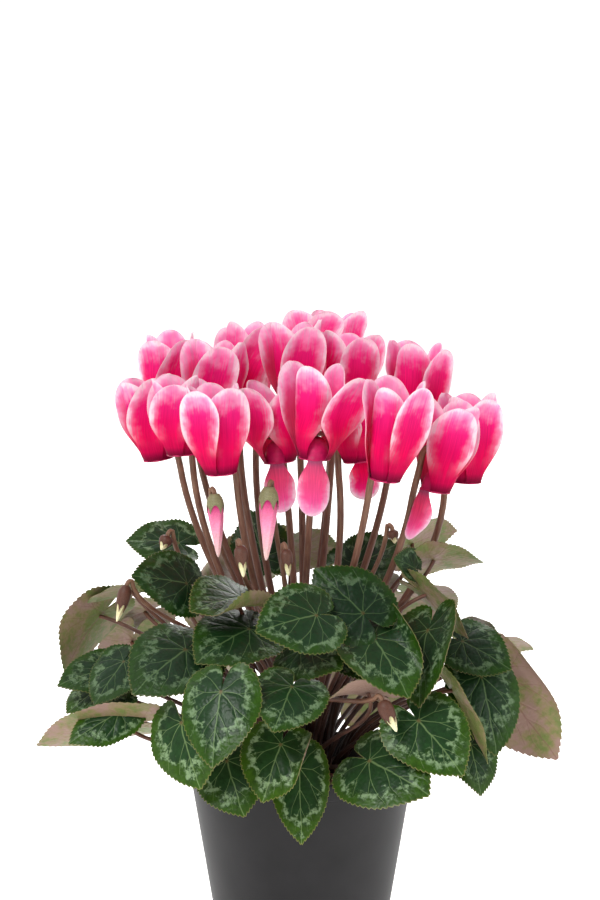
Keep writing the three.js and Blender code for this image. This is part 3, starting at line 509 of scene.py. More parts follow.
# %% [markdown]
# The blade is first drawn flat. Points of its half outline are joined by a smooth line from the tip round
# to the notch, and evenly spaced columns run from the joint to that line. Three columns make one tooth.
# The outline could be traced as a curve instead, but angle and reach are easily read off a leaf, and the
# number of teeth stays free.

# %% Flat outline with teeth
# Angle from the tip in degrees, and reach as a share of the leaf's length
HALF_OUTLINE = [
    (0, 0.99), (8, 0.915), (20, 0.838), (40, 0.752), (60, 0.687), (80, 0.64),
    (100, 0.6), (120, 0.56), (140, 0.51), (155, 0.45), (168, 0.34), (180, 0.07),
]
TEETH_PER_HALF = 30
TOOTH_FORM = np.array([-1.3, 0.1, -0.4])
TOOTH_DEPTH = 0.75
ROW_SHARES = np.array([0.02, 0.12, 0.24, 0.36, 0.48, 0.59, 0.69, 0.78, 0.86, 0.93, 1])


def curve_through(points, steps):
    """A smooth line through the points, with some steps between each two (a cubic spline)."""
    points = np.array(points, float)
    padded = np.concatenate([[2 * points[0] - points[1]], points, [2 * points[-1] - points[-2]]])
    t = (np.arange(steps) / steps)[:, None]
    line = [
        0.5 * (2 * b + (c - a) * t + (2 * a - 5 * b + 4 * c - d) * t ** 2 + (3 * b - a - 3 * c + d) * t ** 3)
        for a, b, c, d in zip(padded, padded[1:], padded[2:], padded[3:])
    ]
    return np.concatenate([*line, points[-1:]])


drawn = [(reach * math.sin(a * DEGREE), reach * math.cos(a * DEGREE)) for a, reach in HALF_OUTLINE]
smooth_half = curve_through(drawn, 12)
travelled = distance_along(smooth_half)
even = np.linspace(0, travelled[-1], len(TOOTH_FORM) * TEETH_PER_HALF + 1)
half_x, half_y = (np.interp(even, travelled, smooth_half[:, axis]) for axis in (0, 1))
column_x = np.concatenate([half_x, -half_x[-2:0:-1]])
column_y = np.concatenate([half_y, half_y[-2:0:-1]])
COLUMN_ANGLES = np.arctan2(column_x, column_y)
COLUMN_REACH = np.hypot(column_x, column_y)
half_way = np.minimum(np.arange(len(column_x)), len(column_x) - np.arange(len(column_x)))
COLUMN_TEETH = TOOTH_FORM[half_way % len(TOOTH_FORM)] * smooth_rise(len(half_x) - half_way, 2, 14)
print("columns:", len(column_x), "outline", round(2 * travelled[-1], 2), "times the leaf's length")

# %% [markdown]
# Then it is bent. The same two steady bends as in the plain solid give the cup and the droop, and a slow
# wave lifts and lowers the margin. Bend modifiers could do this. The formula is chosen because it also
# tells the stalk where the midrib is.

# %% Bend a blade
def leaf_of(row, turned_round=False):
    bunch, at, tip, faces, width, cup, droop, *curl = row
    turn = np.array([-1, -1, 1]) if turned_round else np.ones(3)
    at, tip, faces = np.array(at) * turn, np.array(tip) * turn, np.array(faces) * turn
    half_droop = droop * DEGREE / 2
    chord = tip - at
    length = np.linalg.norm(chord) * half_droop / math.sin(half_droop)
    chord = unit(chord)
    right = unit(np.cross(chord, faces))
    along = chord * math.cos(half_droop) + np.cross(right, chord) * math.sin(half_droop)
    return {
        "at": at, "length": length, "right": right, "along": along, "up": np.cross(right, along),
        "width": width, "cup": cup * DEGREE, "droop": droop * DEGREE, "curl": curl[0] if curl else [0, 0],
    }


def bent(distance, bend, start=0.0, further=0.0):
    middle = ((np.arange(8) + 0.5) / 8)[:, None, None] * distance
    slope = bend * middle + further * np.maximum(0, middle - start)
    along = (np.cos(slope) * distance / 8).sum(axis=0)
    height = (np.sin(slope) * distance / 8).sum(axis=0)
    return along, height, bend * distance + further * np.maximum(0, distance - start)


def blade_points(leaf, angle, share, reach):
    distance = leaf["length"] * reach * share
    x, y = distance * leaf["width"] * np.sin(angle), distance * np.cos(angle)
    half_width = 0.6 * leaf["length"] * leaf["width"]
    curl = np.where(x < 0, leaf["curl"][0], leaf["curl"][1]) * DEGREE
    across, lift, _ = bent(np.abs(x), leaf["cup"] / half_width, 0.4 * half_width, curl / (0.6 * half_width))
    along, height, slope = bent(np.abs(y), -leaf["droop"] / leaf["length"])
    ruffle = 0.5 * share ** 4 * np.sin(7 * angle + 1.1 * leaf["index"])
    lift = lift + leaf["wave"] * share ** 3 * np.sin(3 * angle + leaf["wave_phase"]) + ruffle
    return (
        leaf["at"]
        + (np.sign(x) * across)[..., None] * leaf["right"]
        + (np.sign(y) * (along - lift * np.sin(slope)))[..., None] * leaf["along"]
        + (height + lift * np.cos(slope))[..., None] * leaf["up"]
    )


print("a leaf of", round(leaf_of(NEAR_LEAVES[0])["length"], 1), "mm")

# %% [markdown]
# The veins fan out from the joint and fork before the margin. One list of straight lengths, for one half
# of a leaf one unit long, serves twice. Here it sinks the upper face a little along each vein, and in the
# finish it draws them. Real veins stand out by a few tenths of a millimetre, so no tubes are laid on the
# leaf for them.

# %% Veins
# Start and end of each length, with the joint at (0, 0) and the tip at (0, 1), and its width there
VEINS = [
    [(0, 0), (0, 0.96), 0.014], [(0, 0), (0.22, 0.2), 0.0085], [(0.22, 0.2), (0.36, 0.44), 0.006],
    [(0.36, 0.44), (0.4, 0.58), 0.0035], [(0.22, 0.2), (0.47, 0.34), 0.0045], [(0, 0), (0.27, 0.02), 0.0075],
    [(0.27, 0.02), (0.5, 0.12), 0.005], [(0.27, 0.02), (0.5, -0.06), 0.004], [(0, 0), (0.21, -0.17), 0.006],
    [(0.21, -0.17), (0.4, -0.27), 0.004], [(0, 0.27), (0.17, 0.49), 0.006],
    [(0.17, 0.49), (0.23, 0.68), 0.004], [(0, 0.5), (0.11, 0.67), 0.005], [(0.11, 0.67), (0.13, 0.8), 0.003],
]


def vein_distance(x, y):
    nearest = np.full(np.shape(x), 9.0)
    for (ax, ay), (bx, by), _ in VEINS:
        dx, dy = bx - ax, by - ay
        t = np.clip(((x - ax) * dx + (y - ay) * dy) / (dx * dx + dy * dy), 0, 1)
        nearest = np.minimum(nearest, np.hypot(x - ax - t * dx, y - ay - t * dy))
    return nearest


print("vein lengths:", len(VEINS))

# %% [markdown]
# A blade is a grid of points that gets a thickness, a little less at the margin than in the middle. Its
# marks say where on the leaf each point lies, as a share of its length and in millimetres. A Solidify
# modifier could thicken the grid, but would need a vertex group for the thinner margin.

# %% Sheets
def facing(middle, closed):
    across = np.roll(middle, -1, 1) - np.roll(middle, 1, 1) if closed else np.gradient(middle, axis=1)
    normal = np.cross(across, np.gradient(middle, axis=0))
    return normal / np.maximum(np.linalg.norm(normal, axis=2, keepdims=True), 1e-9)


def sheet(middle, thickness, marks, closed=False, finish=0):
    rows, columns = middle.shape[:2]
    half = facing(middle, closed) * thickness[..., None] / 2
    points = np.concatenate([(middle + half).reshape(-1, 3), (middle - half).reshape(-1, 3)])
    below = rows * columns
    faces = grid_faces(rows, columns, closed)
    lower = grid_faces(rows, columns, closed, flip=True)
    faces += [tuple(corner + below for corner in face) for face in lower]
    if closed:
        rim = [(rows - 1) * columns + column for column in range(columns)]
        rim.append(rim[0])
        faces += [tuple(range(columns))[::-1], tuple(range(below, below + columns))]
    else:
        rim = [row * columns for row in range(rows - 1, 0, -1)] + list(range(columns))
        rim += [row * columns + columns - 1 for row in range(1, rows)]
        rim = rim[::-1] + [(rows - 1) * columns + column for column in range(columns)]
    faces += [(a, b, b + below, a + below) for a, b in zip(rim, rim[1:])]
    doubled = {name: np.concatenate([mark.reshape(-1, 3)] * 2) for name, mark in marks.items()}
    side = np.repeat([[0.0, 0.0, 0.0], [1.0, 0.0, 0.0]], below, axis=0)
    return {"points": points, "faces": faces, "finish": finish, "marks": {**doubled, "sheet_side": side}}


flat_square = np.stack([*np.meshgrid([0.0, 1.0], [0.0, 1.0]), np.zeros((2, 2))], 2)
print("a sheet of 4 points has", len(sheet(flat_square, np.ones((2, 2)), {})["faces"]), "faces")

# %% Blades
VEIN_DEPTH, VEIN_WIDTH = 0.22, 1.8
BLADE_THICKNESS, MARGIN_THINNER = 0.55, 0.25


def blade_shape(leaf):
    number, length = leaf["index"], leaf["length"]
    share = ROW_SHARES[:, None] + 0 * COLUMN_ANGLES
    angle = COLUMN_ANGLES + 0 * share
    toothed = 1 + COLUMN_TEETH * TOOTH_DEPTH / (length * COLUMN_REACH) * smooth_rise(share, 0.75, 1)
    reach = np.minimum(COLUMN_REACH * toothed, 1)
    middle = blade_points(leaf, angle, share, reach)
    x, y = reach * share * np.sin(angle), reach * share * np.cos(angle)
    near_vein = np.exp(-(vein_distance(np.abs(x), y) * length / VEIN_WIDTH) ** 2)
    sunk = VEIN_DEPTH * near_vein * smooth_rise(share, 0.1, 0.3) * (1 - share ** 4)
    middle = middle - facing(middle, closed=True) * sunk[..., None]
    fresh = 0.6 * float(np.clip((175 - leaf["at"][2]) / 40, -1, 1)) + 0.4 * vary(number, 7)
    marks = {
        "leaf_place": np.stack([x, y, share], 2),
        "leaf_grain": np.stack([x * length * leaf["width"], y * length, 0 * x + 40 * number], 2),
        "piece_seed": np.tile([float(number), fresh, vary(number, 8)], (*x.shape, 1)),
    }
    return sheet(middle, BLADE_THICKNESS - MARGIN_THINNER * share ** 4, marks, closed=True)


print("blade grid:", len(ROW_SHARES), "by", len(COLUMN_ANGLES))

# %% [markdown]
# Each blade stands on its own stalk, round and brittle, that climbs from the tuber, arches over and
# enters the blade from below at the notch. Stalks of one bunch meet in a low woody crown on the tuber. A
# bevelled curve could be the stalk. A tube of points is chosen because its colour follows the distance
# along it.

# %% Leaf stalks and crowns
PETIOLE_RADIUS, PETIOLE_INSET = 1.3, 3


def petiole_shape(leaf, foot_point):
    one = np.ones((1, 1))
    midrib = unit(blade_points(leaf, 0 * one, 0.56 * one, one)[0, 0] - leaf["at"])
    end = leaf["at"] + PETIOLE_INSET * midrib
    approach = unit(0.5 * leaf["along"] + 0.85 * leaf["up"])
    climb = max(14, 0.45 * (end[2] - TUBER_TOP))
    reach = min(24, 0.35 * np.linalg.norm(end - foot_point))
    path = bezier(foot_point, foot_point + climb * UP, end - reach * approach, end - 0.1 * leaf["up"], 22)
    radii = PETIOLE_RADIUS * np.linspace(1.12, 0.85, len(path))
    return tube(path, radii, 10, leaf["index"], finish=1)


def crown_shape(middle, radius, number):
    heights = np.array([0, 0.8, 1.8, 2.6, 3.0])
    widths = radius * np.array([1, 1.02, 0.96, 0.8, 0.5])
    return tube(middle + heights[:, None] * UP, widths, 16, number, finish=1)


print("leaf stalks", 2 * PETIOLE_RADIUS, "mm thick")

# %% [markdown]
# Bunches with high leaves stand on the inner ring of the tuber and those with low leaves on the outer
# one, each as near as possible to the side on which its leaves are.

# %% Gather the bunches
CROWN_RINGS = [(11, 15.1), (14, 23.6)]
CROWN_SPACING = [0, 0, 1.7, 2, 2.2]


def spread(bearings):
    gap = 2 * math.pi / len(bearings)
    turned_back = [bearing - k * gap for k, bearing in enumerate(bearings)]
    start = math.atan2(sum(map(math.sin, turned_back)), sum(map(math.cos, turned_back)))
    return [start + k * gap for k in range(len(bearings))]


def bearing_of(point):
    return math.atan2(point[1], point[0])


bunches = {}
for row in NEAR_LEAVES:
    bunches.setdefault("leaves_" + row[0], []).append(leaf_of(row))
for number, members in enumerate(FAR_BUNCHES, 1):
    bunches[f"leaves_far_{number}"] = [leaf_of(NEAR_LEAVES[member], turned_round=True) for member in members]
for index, leaf in enumerate(leaf for leaves in bunches.values() for leaf in leaves):
    leaf["index"] = index
    leaf["wave"] = 0.9 + 0.5 * vary(index, 1)
    leaf["wave_phase"] = math.pi * vary(index, 2)
places = [
    (node, leaves, np.mean([leaf["at"] for leaf in leaves], axis=0)) for node, leaves in bunches.items()
]
places.sort(key=lambda bunch: -bunch[2][2])
print(len(bunches), "bunches,", index + 1, "leaves")

# %% [markdown]
# The upper side of the blade is dark blue-green in the middle. A broken band of silver follows the
# outline at two thirds of the way out, where the upper skin stands off from the green cells below and
# scatters light. The margin outside it is a fresher green, with pale tips to its teeth, and the veins are
# paler than the blade. Young low leaves are brighter, and on each leaf the band lies a little further in
# or out. The under side holds red pigment: some patches of it are a dull pink, others olive. One finish
# draws both sides, from the marks. A painted image could carry the pattern, but this way no two leaves
# share one, and it stays sharp close up.

# %% Leaf finish: places and veins
# The joins of the veins wander by a noise of 11 mm. Widths are shares of the leaf's length.
VEIN_WANDER, VEIN_TAPER = 0.055, 0.55

LEAF_MARKS = ["leaf_place", "leaf_grain", "piece_seed", "sheet_side"]
leaf_skin, tree, place, grain, seed, side = new_material("waxy_marbled_leaf_blade", *LEAF_MARKS)
warp = add(tree, "TexNoise", {"Vector": grain, "Scale": 0.09, "Detail": 2.0})
centred = add(tree, "VectorMath", [warp.outputs["Color"], (0.5, 0.5, 0.5)], operation="SUBTRACT")
shift = add(tree, "VectorMath", {0: centred, "Scale": VEIN_WANDER}, operation="SCALE")
flat = add(tree, "VectorMath", [place, (1, 1, 0)], operation="MULTIPLY")
warped = add(tree, "VectorMath", [flat, shift], operation="ADD")
folded = add(tree, "VectorMath", [warped], operation="ABSOLUTE")
half_x = add(tree, "SeparateXYZ", [folded]).outputs["X"]
half_y = add(tree, "SeparateXYZ", [warped]).outputs["Y"]
half = add(tree, "CombineXYZ", [half_x, half_y])
vein_line = None
for (ax, ay), (bx, by), width in VEINS:
    length = math.hypot(bx - ax, by - ay)
    way = ((bx - ax) / length, (by - ay) / length, 0)
    from_start = add(tree, "VectorMath", [half, (ax, ay, 0)], operation="SUBTRACT")
    forward = add(tree, "VectorMath", [from_start, way], operation="DOT_PRODUCT")
    share = add(tree, "Math", [forward, length], operation="DIVIDE", use_clamp=True)
    ahead = add(tree, "Math", [share, length], operation="MULTIPLY")
    foot_of = add(tree, "VectorMath", {0: way, "Scale": ahead}, operation="SCALE")
    off = add(tree, "VectorMath", [from_start, foot_of], operation="DISTANCE")
    slimmer = add(tree, "MapRange", [share, 0, 1, width, width * VEIN_TAPER])
    ratio = add(tree, "Math", [off, slimmer], operation="DIVIDE")
    vein_line = add(tree, "Math", [vein_line, ratio], operation="MINIMUM") if vein_line else ratio
vein = add(tree, "MapRange", [vein_line, 0.4, 1.4, 1.0, 0.0], **SOFT)
print("vein nodes:", len(tree.nodes))

# %% Leaf finish: upper side
# Blotches that break the silver band of about 6 mm, and a mottle of 3.6 mm
reach = add(tree, "SeparateXYZ", [place]).outputs["Z"]
_, freshness, own = add(tree, "SeparateXYZ", [seed]).outputs
blotch = add(tree, "TexNoise", {"Vector": grain, "Scale": 0.16, "Detail": 3.0, "Roughness": 0.6})
mottle = add(tree, "TexNoise", {"Vector": grain, "Scale": 0.28, "Detail": 4.0, "Roughness": 0.65})
uneven = add(tree, "MapRange", [blotch, 0.3, 0.7, -0.16, 0.16])
own_shift = add(tree, "Math", [own, 0.05, uneven], operation="MULTIPLY_ADD")
moved = add(tree, "Math", [reach, own_shift], operation="ADD")
band_in = add(tree, "MapRange", [moved, 0.62, 0.72], **SOFT)
band_out = add(tree, "MapRange", [moved, 0.74, 0.88, 1.0, 0.0], **SOFT)
band = add(tree, "Math", [band_in, band_out], operation="MULTIPLY")
own_strength = add(tree, "MapRange", [freshness, -1.0, 1.0, 0.7, 1.0])
broken = add(tree, "MapRange", [mottle, 0.43, 0.58, 0, own_strength], **SOFT)
silver = add(tree, "Math", [band, broken], operation="MULTIPLY")
outer = add(tree, "MapRange", [moved, 0.6, 0.95], **SOFT)
green = add(tree, "Mix", {0: outer, 6: linear("#213d20"), 7: linear("#35531f")}, **COLOURS)
cloud = add(tree, "MapRange", [mottle, 0.3, 0.7, 0.7, 1.3])
clouded = add(tree, "HueSaturation", {"Value": cloud, "Color": green})
veined = add(tree, "Math", [vein, 0.55], operation="MULTIPLY")
rim = add(tree, "MapRange", [reach, 0.97, 1.0, 0, 0.7], **SOFT)
joint = add(tree, "MapRange", [reach, 0.01, 0.06, 0.7, 0.0])
upper = clouded
for share, colour in [(silver, "#8ca580"), (veined, "#86a070"), (rim, "#8a8b58"), (joint, "#6e4028")]:
    upper = add(tree, "Mix", {0: share, 6: upper, 7: linear(colour)}, **COLOURS)
bright = add(tree, "MapRange", [freshness, -1.0, 1.0, 0.37, 1.08])
hue = add(tree, "MapRange", [freshness, -1.0, 1.0, 0.515, 0.485])
upper = add(tree, "HueSaturation", {"Hue": hue, "Saturation": 1.15, "Value": bright, "Color": upper})
print("upper side done,", len(tree.nodes), "nodes")

# %% Leaf finish: under side and gloss
# Patches of about 18 mm. The quilting between the finest veins is drawn at 3.3 mm, about twice its real size.
patch = add(tree, "TexNoise", {"Vector": grain, "Scale": 0.055, "Detail": 3.0, "Roughness": 0.55})
leaf_tint = add(tree, "Math", [own, 0.09, patch], operation="MULTIPLY_ADD")
tint = add(tree, "Math", [mottle, 0.55, leaf_tint], operation="MULTIPLY_ADD")
mauve = add(tree, "ValToRGB", [tint], stops=[(0.66, "#727e46"), (0.77, "#8c805a"), (0.92, "#9c8074")])
under = add(tree, "Mix", {0: veined, 6: mauve, 7: linear("#845e54")}, **COLOURS)
is_under = add(tree, "SeparateXYZ", [side]).outputs["X"]
colour = add(tree, "Mix", {0: is_under, 6: upper, 7: under}, **COLOURS)
cells = add(tree, "TexVoronoi", {"Vector": grain, "Scale": 0.3}, feature="DISTANCE_TO_EDGE")
quilt = add(tree, "MapRange", [cells, 0.0, 0.4], **SOFT)
near_vein = add(tree, "MapRange", [vein_line, 0.0, 6.0, 0.9, 0.0], **SOFT)
sunk = add(tree, "Math", [quilt, near_vein], operation="SUBTRACT")
relief = add(tree, "Bump", {"Height": sunk, "Strength": 0.22, "Distance": 0.0006})
leaf_surface = add(tree, "BsdfPrincipled", {
    "Base Color": colour, "Roughness": 0.38, "IOR": 1.45, "Specular IOR Level": 0.3, "Normal": relief,
})
glow = add(tree, "BsdfTranslucent", [colour])
blade_light = add(tree, "MixShader", [0.1, leaf_surface, glow])
add(tree, "OutputMaterial", [blade_light])
print("leaf finish:", len(tree.nodes), "nodes")

# %% [markdown]
# Leaf and flower stalks are smooth and fleshy. Red pigment makes them brown at the foot, and it thins
# towards the top; painted shade also darkens the foot of each flower stalk towards near black. The leaf
# stalks stand in the plant's own shade, and that shade is painted into their colours, which are darker. The
# calyx has the same skin, but is mottled with green. A little light is let into the flesh, because with a
# plain surface the stalks look like painted wire.

# %% Stalk finish
# Streaks of about 1 mm round the stalk, drawn out to 9 mm along it, and moved by the stalk's own number
def fleshy_stalk(name, colours):
    skin, tree, place, seed = new_material(name, "stalk_place", "piece_seed")
    up_stalk = add(tree, "SeparateXYZ", [place]).outputs["Z"]
    offset = add(tree, "VectorMath", [seed, (13.0, 13.0, 0.0)], operation="MULTIPLY")
    stretched = add(tree, "VectorMath", [place, (1.0, 0.12, 0.0)], operation="MULTIPLY")
    own = add(tree, "VectorMath", [stretched, offset], operation="ADD")
    streaks = add(tree, "TexNoise", {"Vector": own, "Scale": 0.9, "Detail": 3.0})
    lighter = add(tree, "Math", [up_stalk, streaks], operation="MULTIPLY")
    shade = add(tree, "ValToRGB", [lighter], stops=list(zip((0.0, 0.25, 0.6), colours)))
    surface = add(tree, "BsdfPrincipled", {
        "Base Color": shade, "Roughness": 0.5, "IOR": 1.4, "Subsurface Weight": 0.1,
        "Subsurface Radius": (0.6, 0.3, 0.2), "Subsurface Scale": 0.001,
    })
    add(tree, "OutputMaterial", [surface])
    return skin


# The first colour, at the foot of each flower stalk, is red-brown darkened with painted shade.
stalk_skin = fleshy_stalk("smooth_fleshy_flower_stalk_painted_shade_at_foot", ["#351c14", "#5e3a2c", "#80604a"])
# The leaf stalks and their crowns take a darker copy of the stalk colours: painted shade.
petiole_painted_shade_skin = fleshy_stalk("leaf_stalk_with_painted_shade", ["#1c0f0a", "#3c2117", "#6b4636"])
calyx_skin = fleshy_stalk("mottled_green_calyx", ["#35341c", "#8c8862", "#a8a47c"])
print("stalk finishes:", [skin.name for skin in (stalk_skin, petiole_painted_shade_skin, calyx_skin)])

# %% Place every bunch of leaves
for count, ring_radius in CROWN_RINGS:
    ring = sorted(places[:count], key=lambda bunch: bearing_of(bunch[2]))
    places = places[count:]
    for (node, leaves, _), slot in zip(ring, spread([bearing_of(middle) for _, _, middle in ring])):
        apart = CROWN_SPACING[len(leaves)]
        middle = np.array([ring_radius * math.cos(slot), ring_radius * math.sin(slot), TUBER_TOP + CLEARANCE])
        shapes = [crown_shape(middle, apart + 1.8, leaves[0]["index"])]
        for index, leaf in enumerate(leaves):
            around = slot + 2 * math.pi * (index + 0.5) / len(leaves)
            foot_point = middle + np.array([apart * math.cos(around), apart * math.sin(around), 1])
            shapes += [blade_shape(leaf), petiole_shape(leaf, foot_point)]
        name = node.replace("leaves", "leaf_bunch")
        build(name, shapes, [leaf_skin, petiole_painted_shade_skin], [node], sharp=80)
print("leaf faces:", sum(count for name, count in PIECES.items() if name.startswith("leaf")))

# %% [markdown]
# ## Blooms
#
# The flower hangs mouth down from its hooked stalk, and its five petals are swept straight up from the
# mouth. Behind them sits a short bell. Each petal is narrow at the mouth, widest past the middle and
# round at the tip, wrapped round the bloom near the mouth and flatter above, with one edge over and one
# edge under its neighbours. A cloth simulation could form the petals, but a formula keeps each one where
# its plain solid is.

# %% Bloom and bud tables
# Mouth, lean and the way of the lean, spin, how far each petal opens, and the petals' length. Some rows go on
# with the petal that hangs, if one does, and how far each petal is turned. Angles are in degrees.
BLOOMS = [
    [[-80, 6, 288], 9, 185, 20, [14, 8, 6, 12, 8], 48, None, [0, 0, -25, 0, 0]],
    [[-65, -32, 296], 4, 160, 40, [10, 8, 12, 6, 10], 43],
    [[-71, 46, 305], 6, 190, 0, [8, 8, 5, 8, 12], 51, None, [0, 0, -45, 0, 0]],
    [[-43, -62, 290], 5, 200, -6, [8, 8, 11, 8, 8], 50],
    [[-46, -2, 305], 2, 180, 10, [8, 10, 3, 11, 8], 52],
    [[-33, 36, 302], 6, 60, 0, [10, 6, 8, 6, 10], 60],
    [[-12, -33, 292], 6, 170, 10, [10, 18, 16, 12, 8], 46, 2, [0, -20, 0, 0, 0]],
    [[-1, -4, 318], 4, 150, 20, [10, 8, 11, 8, 10], 49],
    [[7, -61, 298], 4, 330, -4, [12, 10, 14, 20, 12], 53, 2, [0, 0, 0, 20, 0]],
    [[15, 60, 321], 6, 80, 30, [14, 16, 10, 14, 20], 48, None, [0, 0, 0, -40, 0]],
    [[23, 16, 312], 5, 60, 30, [14, 10, 12, 12, 8], 47, None, [0, 40, 0, 0, 0]],
    [[31, -30, 292], 6, 170, 50, [12, 14, 10, 8, 12], 40, 3],
    [[44, -79, 289], 8, 350, 7, [8, 7, 11, 8, 8], 54],
    [[62, 6, 304], 4, 20, 12, [8, 11, 9, 10, 8], 50],
    [[72, -52, 279], 9, 0, 24, [8, 8, 9, 14, 10], 50, 0, [0, 0, 40, 0, 0]],
    [[91, -14, 278], 3, 20, 10, [8, 11, 6, 8, 8], 50, None, [0, 0, 40, 0, 0]],
]
# Number of the bloom whose stalk it joins, top of the hook, tip and radius
BUDS = [
    [1, [-71, -30, 253], [-77, -34, 243], 3],
    [2, [-49, -52, 280], [-45, -56, 243], 4],
    [7, [-16, -60, 285], [-19, -66, 243], 4.5],
    [9, [-34, -72, 255], [-31, -78, 236], 3],
    [9, [-10, -60, 251], [-7, -65, 234], 2.6],
    [1, [-93, -40, 227], [-101, -44, 205], 3],
    [4, [40, -107, 178], [50, -113, 160], 3.4],
    [14, [47, -40, 258], [51, -42, 248], 2.4],
]
MOUTH_RADIUS, PETALS = 8.4, 5
PETAL_HALF_WIDTH, WRAP_RADIUS, FLATTENING, OVERLAP, SWELL = 12.3, 10, 14, 0.38, 1.8
TWIST, TWIST_SPREAD, STALK_PARTING = 12, 8, 15
HANGING = {"open": 6, "length": 0.6, "width": 0.7}
OPPOSITE_STALK, PETAL_TIP = 2, 0.975
print(len(BLOOMS), "blooms and", len(BUDS), "buds")

# %% Bloom axes
def turn_about(vector, axis, angle):
    return (vector * math.cos(angle) + np.cross(axis, vector) * math.sin(angle)
            + axis * axis.dot(vector) * (1 - math.cos(angle)))


def bloom_of(index, row):
    mouth, lean, towards, spin, opened, petal, *others = row
    mouth = np.array(mouth, float)
    towards *= DEGREE
    up = turn_about(UP, np.array([-math.sin(towards), math.cos(towards), 0]), lean * DEGREE)
    inward = turn_about(unit(np.array([-mouth[0], -mouth[1], 0])), UP, spin * DEGREE)
    front = unit(inward - up * inward.dot(up))
    return {
        "index": index, "mouth": mouth, "up": up, "front": front, "side": np.cross(up, front),
        "open": opened, "petal": petal, "hanging": others[0] if others else None,
        "turns": others[1] if len(others) > 1 else [0] * PETALS,
    }


def bloom_point(bloom, radius, bearing, height):
    return (
        bloom["mouth"]
        + np.multiply(radius, np.cos(bearing))[..., None] * bloom["front"]
        + np.multiply(radius, np.sin(bearing))[..., None] * bloom["side"]
        + np.asarray(height, float)[..., None] * bloom["up"]
    )


blooms = [bloom_of(index, row) for index, row in enumerate(BLOOMS)]
print("first bloom points", blooms[0]["up"].round(2))

# %% Petal outline
PETAL_BREADTH, ROUND_FROM = 13.0, 0.62
along_low = np.linspace(0, ROUND_FROM, 15)[:-1]
along_tip = ROUND_FROM + (1 - ROUND_FROM) * np.sin(np.linspace(0, 0.965, 11) * math.pi / 2)
PETAL_ALONG = np.concatenate([along_low, along_tip])[:, None]
PETAL_ACROSS = np.sin(np.linspace(-1, 1, 15) * math.pi / 2 * 0.98)[None, :] / math.sin(math.pi / 2 * 0.98)


def petal_half_width(along, hangs=False):
    rounding = np.sqrt(np.maximum(0, 1 - (np.maximum(along - ROUND_FROM, 0) / (1 - ROUND_FROM)) ** 2))
    neck, wide_from = (0.42, 0.45) if hangs else (0.34, 0.56)
    return PETAL_BREADTH * (neck + (1 - neck) * smooth_rise(along, -0.03, wide_from)) * rounding


def edge_distance(length):
    """How many millimetres each point of the petal lies in from its edge, measured on the flat petal."""
    round_end = ROUND_FROM + (1 - ROUND_FROM) * np.sin(np.linspace(0, 1, 30) * math.pi / 2)
    edge_along = np.concatenate([np.linspace(0.02, ROUND_FROM, 30), round_end])
    edge = np.stack([petal_half_width(edge_along), edge_along * length], 1)
    x = np.abs(PETAL_ACROSS) * petal_half_width(PETAL_ALONG)
    y = PETAL_ALONG * length + 0 * PETAL_ACROSS
    return np.hypot(x[..., None] - edge[:, 0], y[..., None] - edge[:, 1]).min(axis=2)


print("petal grid:", len(PETAL_ALONG), "by", PETAL_ACROSS.shape[1])

# %% Petal form
def outside(bloom, petal, across):
    left = np.where(across < 0, (petal + PETALS - 1) % PETALS, petal)
    opened = np.array(bloom["open"])
    seam = np.where(opened[(left + 1) % PETALS] > opened[left] + 2, -1, 1)
    return np.where(across < 0, -seam, seam)


def closing(bloom, petal):
    """Where the petal opposite the stalk hangs, the other four close up over the gap: each one's shift."""
    steps = petal - OPPOSITE_STALK
    return np.sign(steps) * (18 * abs(steps) - 45) if bloom["hanging"] == OPPOSITE_STALK else 0


def petal_points(bloom, petal, along, across):
    hangs = petal == bloom["hanging"]
    upright = 0 if hangs else 1
    traits = bloom["index"] * PETALS + petal
    length = PETAL_TIP * bloom["petal"] * (1 + 0.04 * vary(traits, 3)) * (HANGING["length"] if hangs else 1)
    opened = (HANGING["open"] if hangs else bloom["open"][petal]) * DEGREE
    swell = upright * SWELL * np.sin(math.pi * np.minimum(1, along * 1.4))
    radius = MOUTH_RADIUS - 0.3 + length * along * math.sin(opened) + swell
    height = (-1 if hangs else 1) * length * along * math.cos(opened) + 0 * across
    wrap_radius = WRAP_RADIUS + FLATTENING * along
    wrap = across * petal_half_width(along, hangs) * (HANGING["width"] if hangs else 1) / wrap_radius
    flat, curved = wrap_radius * np.sin(wrap), wrap_radius * (1 - np.cos(wrap))
    turn = upright * bloom["turns"][petal] * DEGREE * smooth_rise(along, 0.15, 0.7)
    sideways = flat * np.cos(turn) + curved * np.sin(turn)
    inward = curved * np.cos(turn) - flat * np.sin(turn)
    beside_stalk = ((petal == 0) & (across < 0)) | ((petal == PETALS - 1) & (across > 0))
    lapped = np.where(beside_stalk, smooth_rise(along, 0.4, 0.75), 1)
    seam = upright * outside(bloom, petal, across) * lapped
    overlap = seam * OVERLAP * sideways ** 2 / PETAL_HALF_WIDTH
    layer = 1.3 * seam * across ** 2 * smooth_rise(along, 0.1, 0.5)
    ripple = 0.55 * across ** 2 * smooth_rise(along, 0.3, 0.8) * np.sin(7 * along + 3 * across + 5 * traits)
    groove = 0.7 * np.exp(-(across / 0.2) ** 2)
    groove = groove * smooth_rise(along, 0.05, 0.35) * (1 - smooth_rise(along, 0.75, 1))
    out = radius - inward + overlap + ripple - groove
    parting = STALK_PARTING * (1 - petal / 2) * (1 - smooth_rise(along, 0.45, 0.9))
    twist = upright * (TWIST + TWIST_SPREAD * vary(traits, 5)) * smooth_rise(along, 0.2, 1)
    closed = closing(bloom, petal) * smooth_rise(along, 0.05, 0.5)
    bearing = (360 * (petal + 0.5) / PETALS + parting + twist + closed) * DEGREE
    return bloom_point(bloom, np.hypot(out, sideways) + layer, bearing + np.arctan2(sideways, out), height)


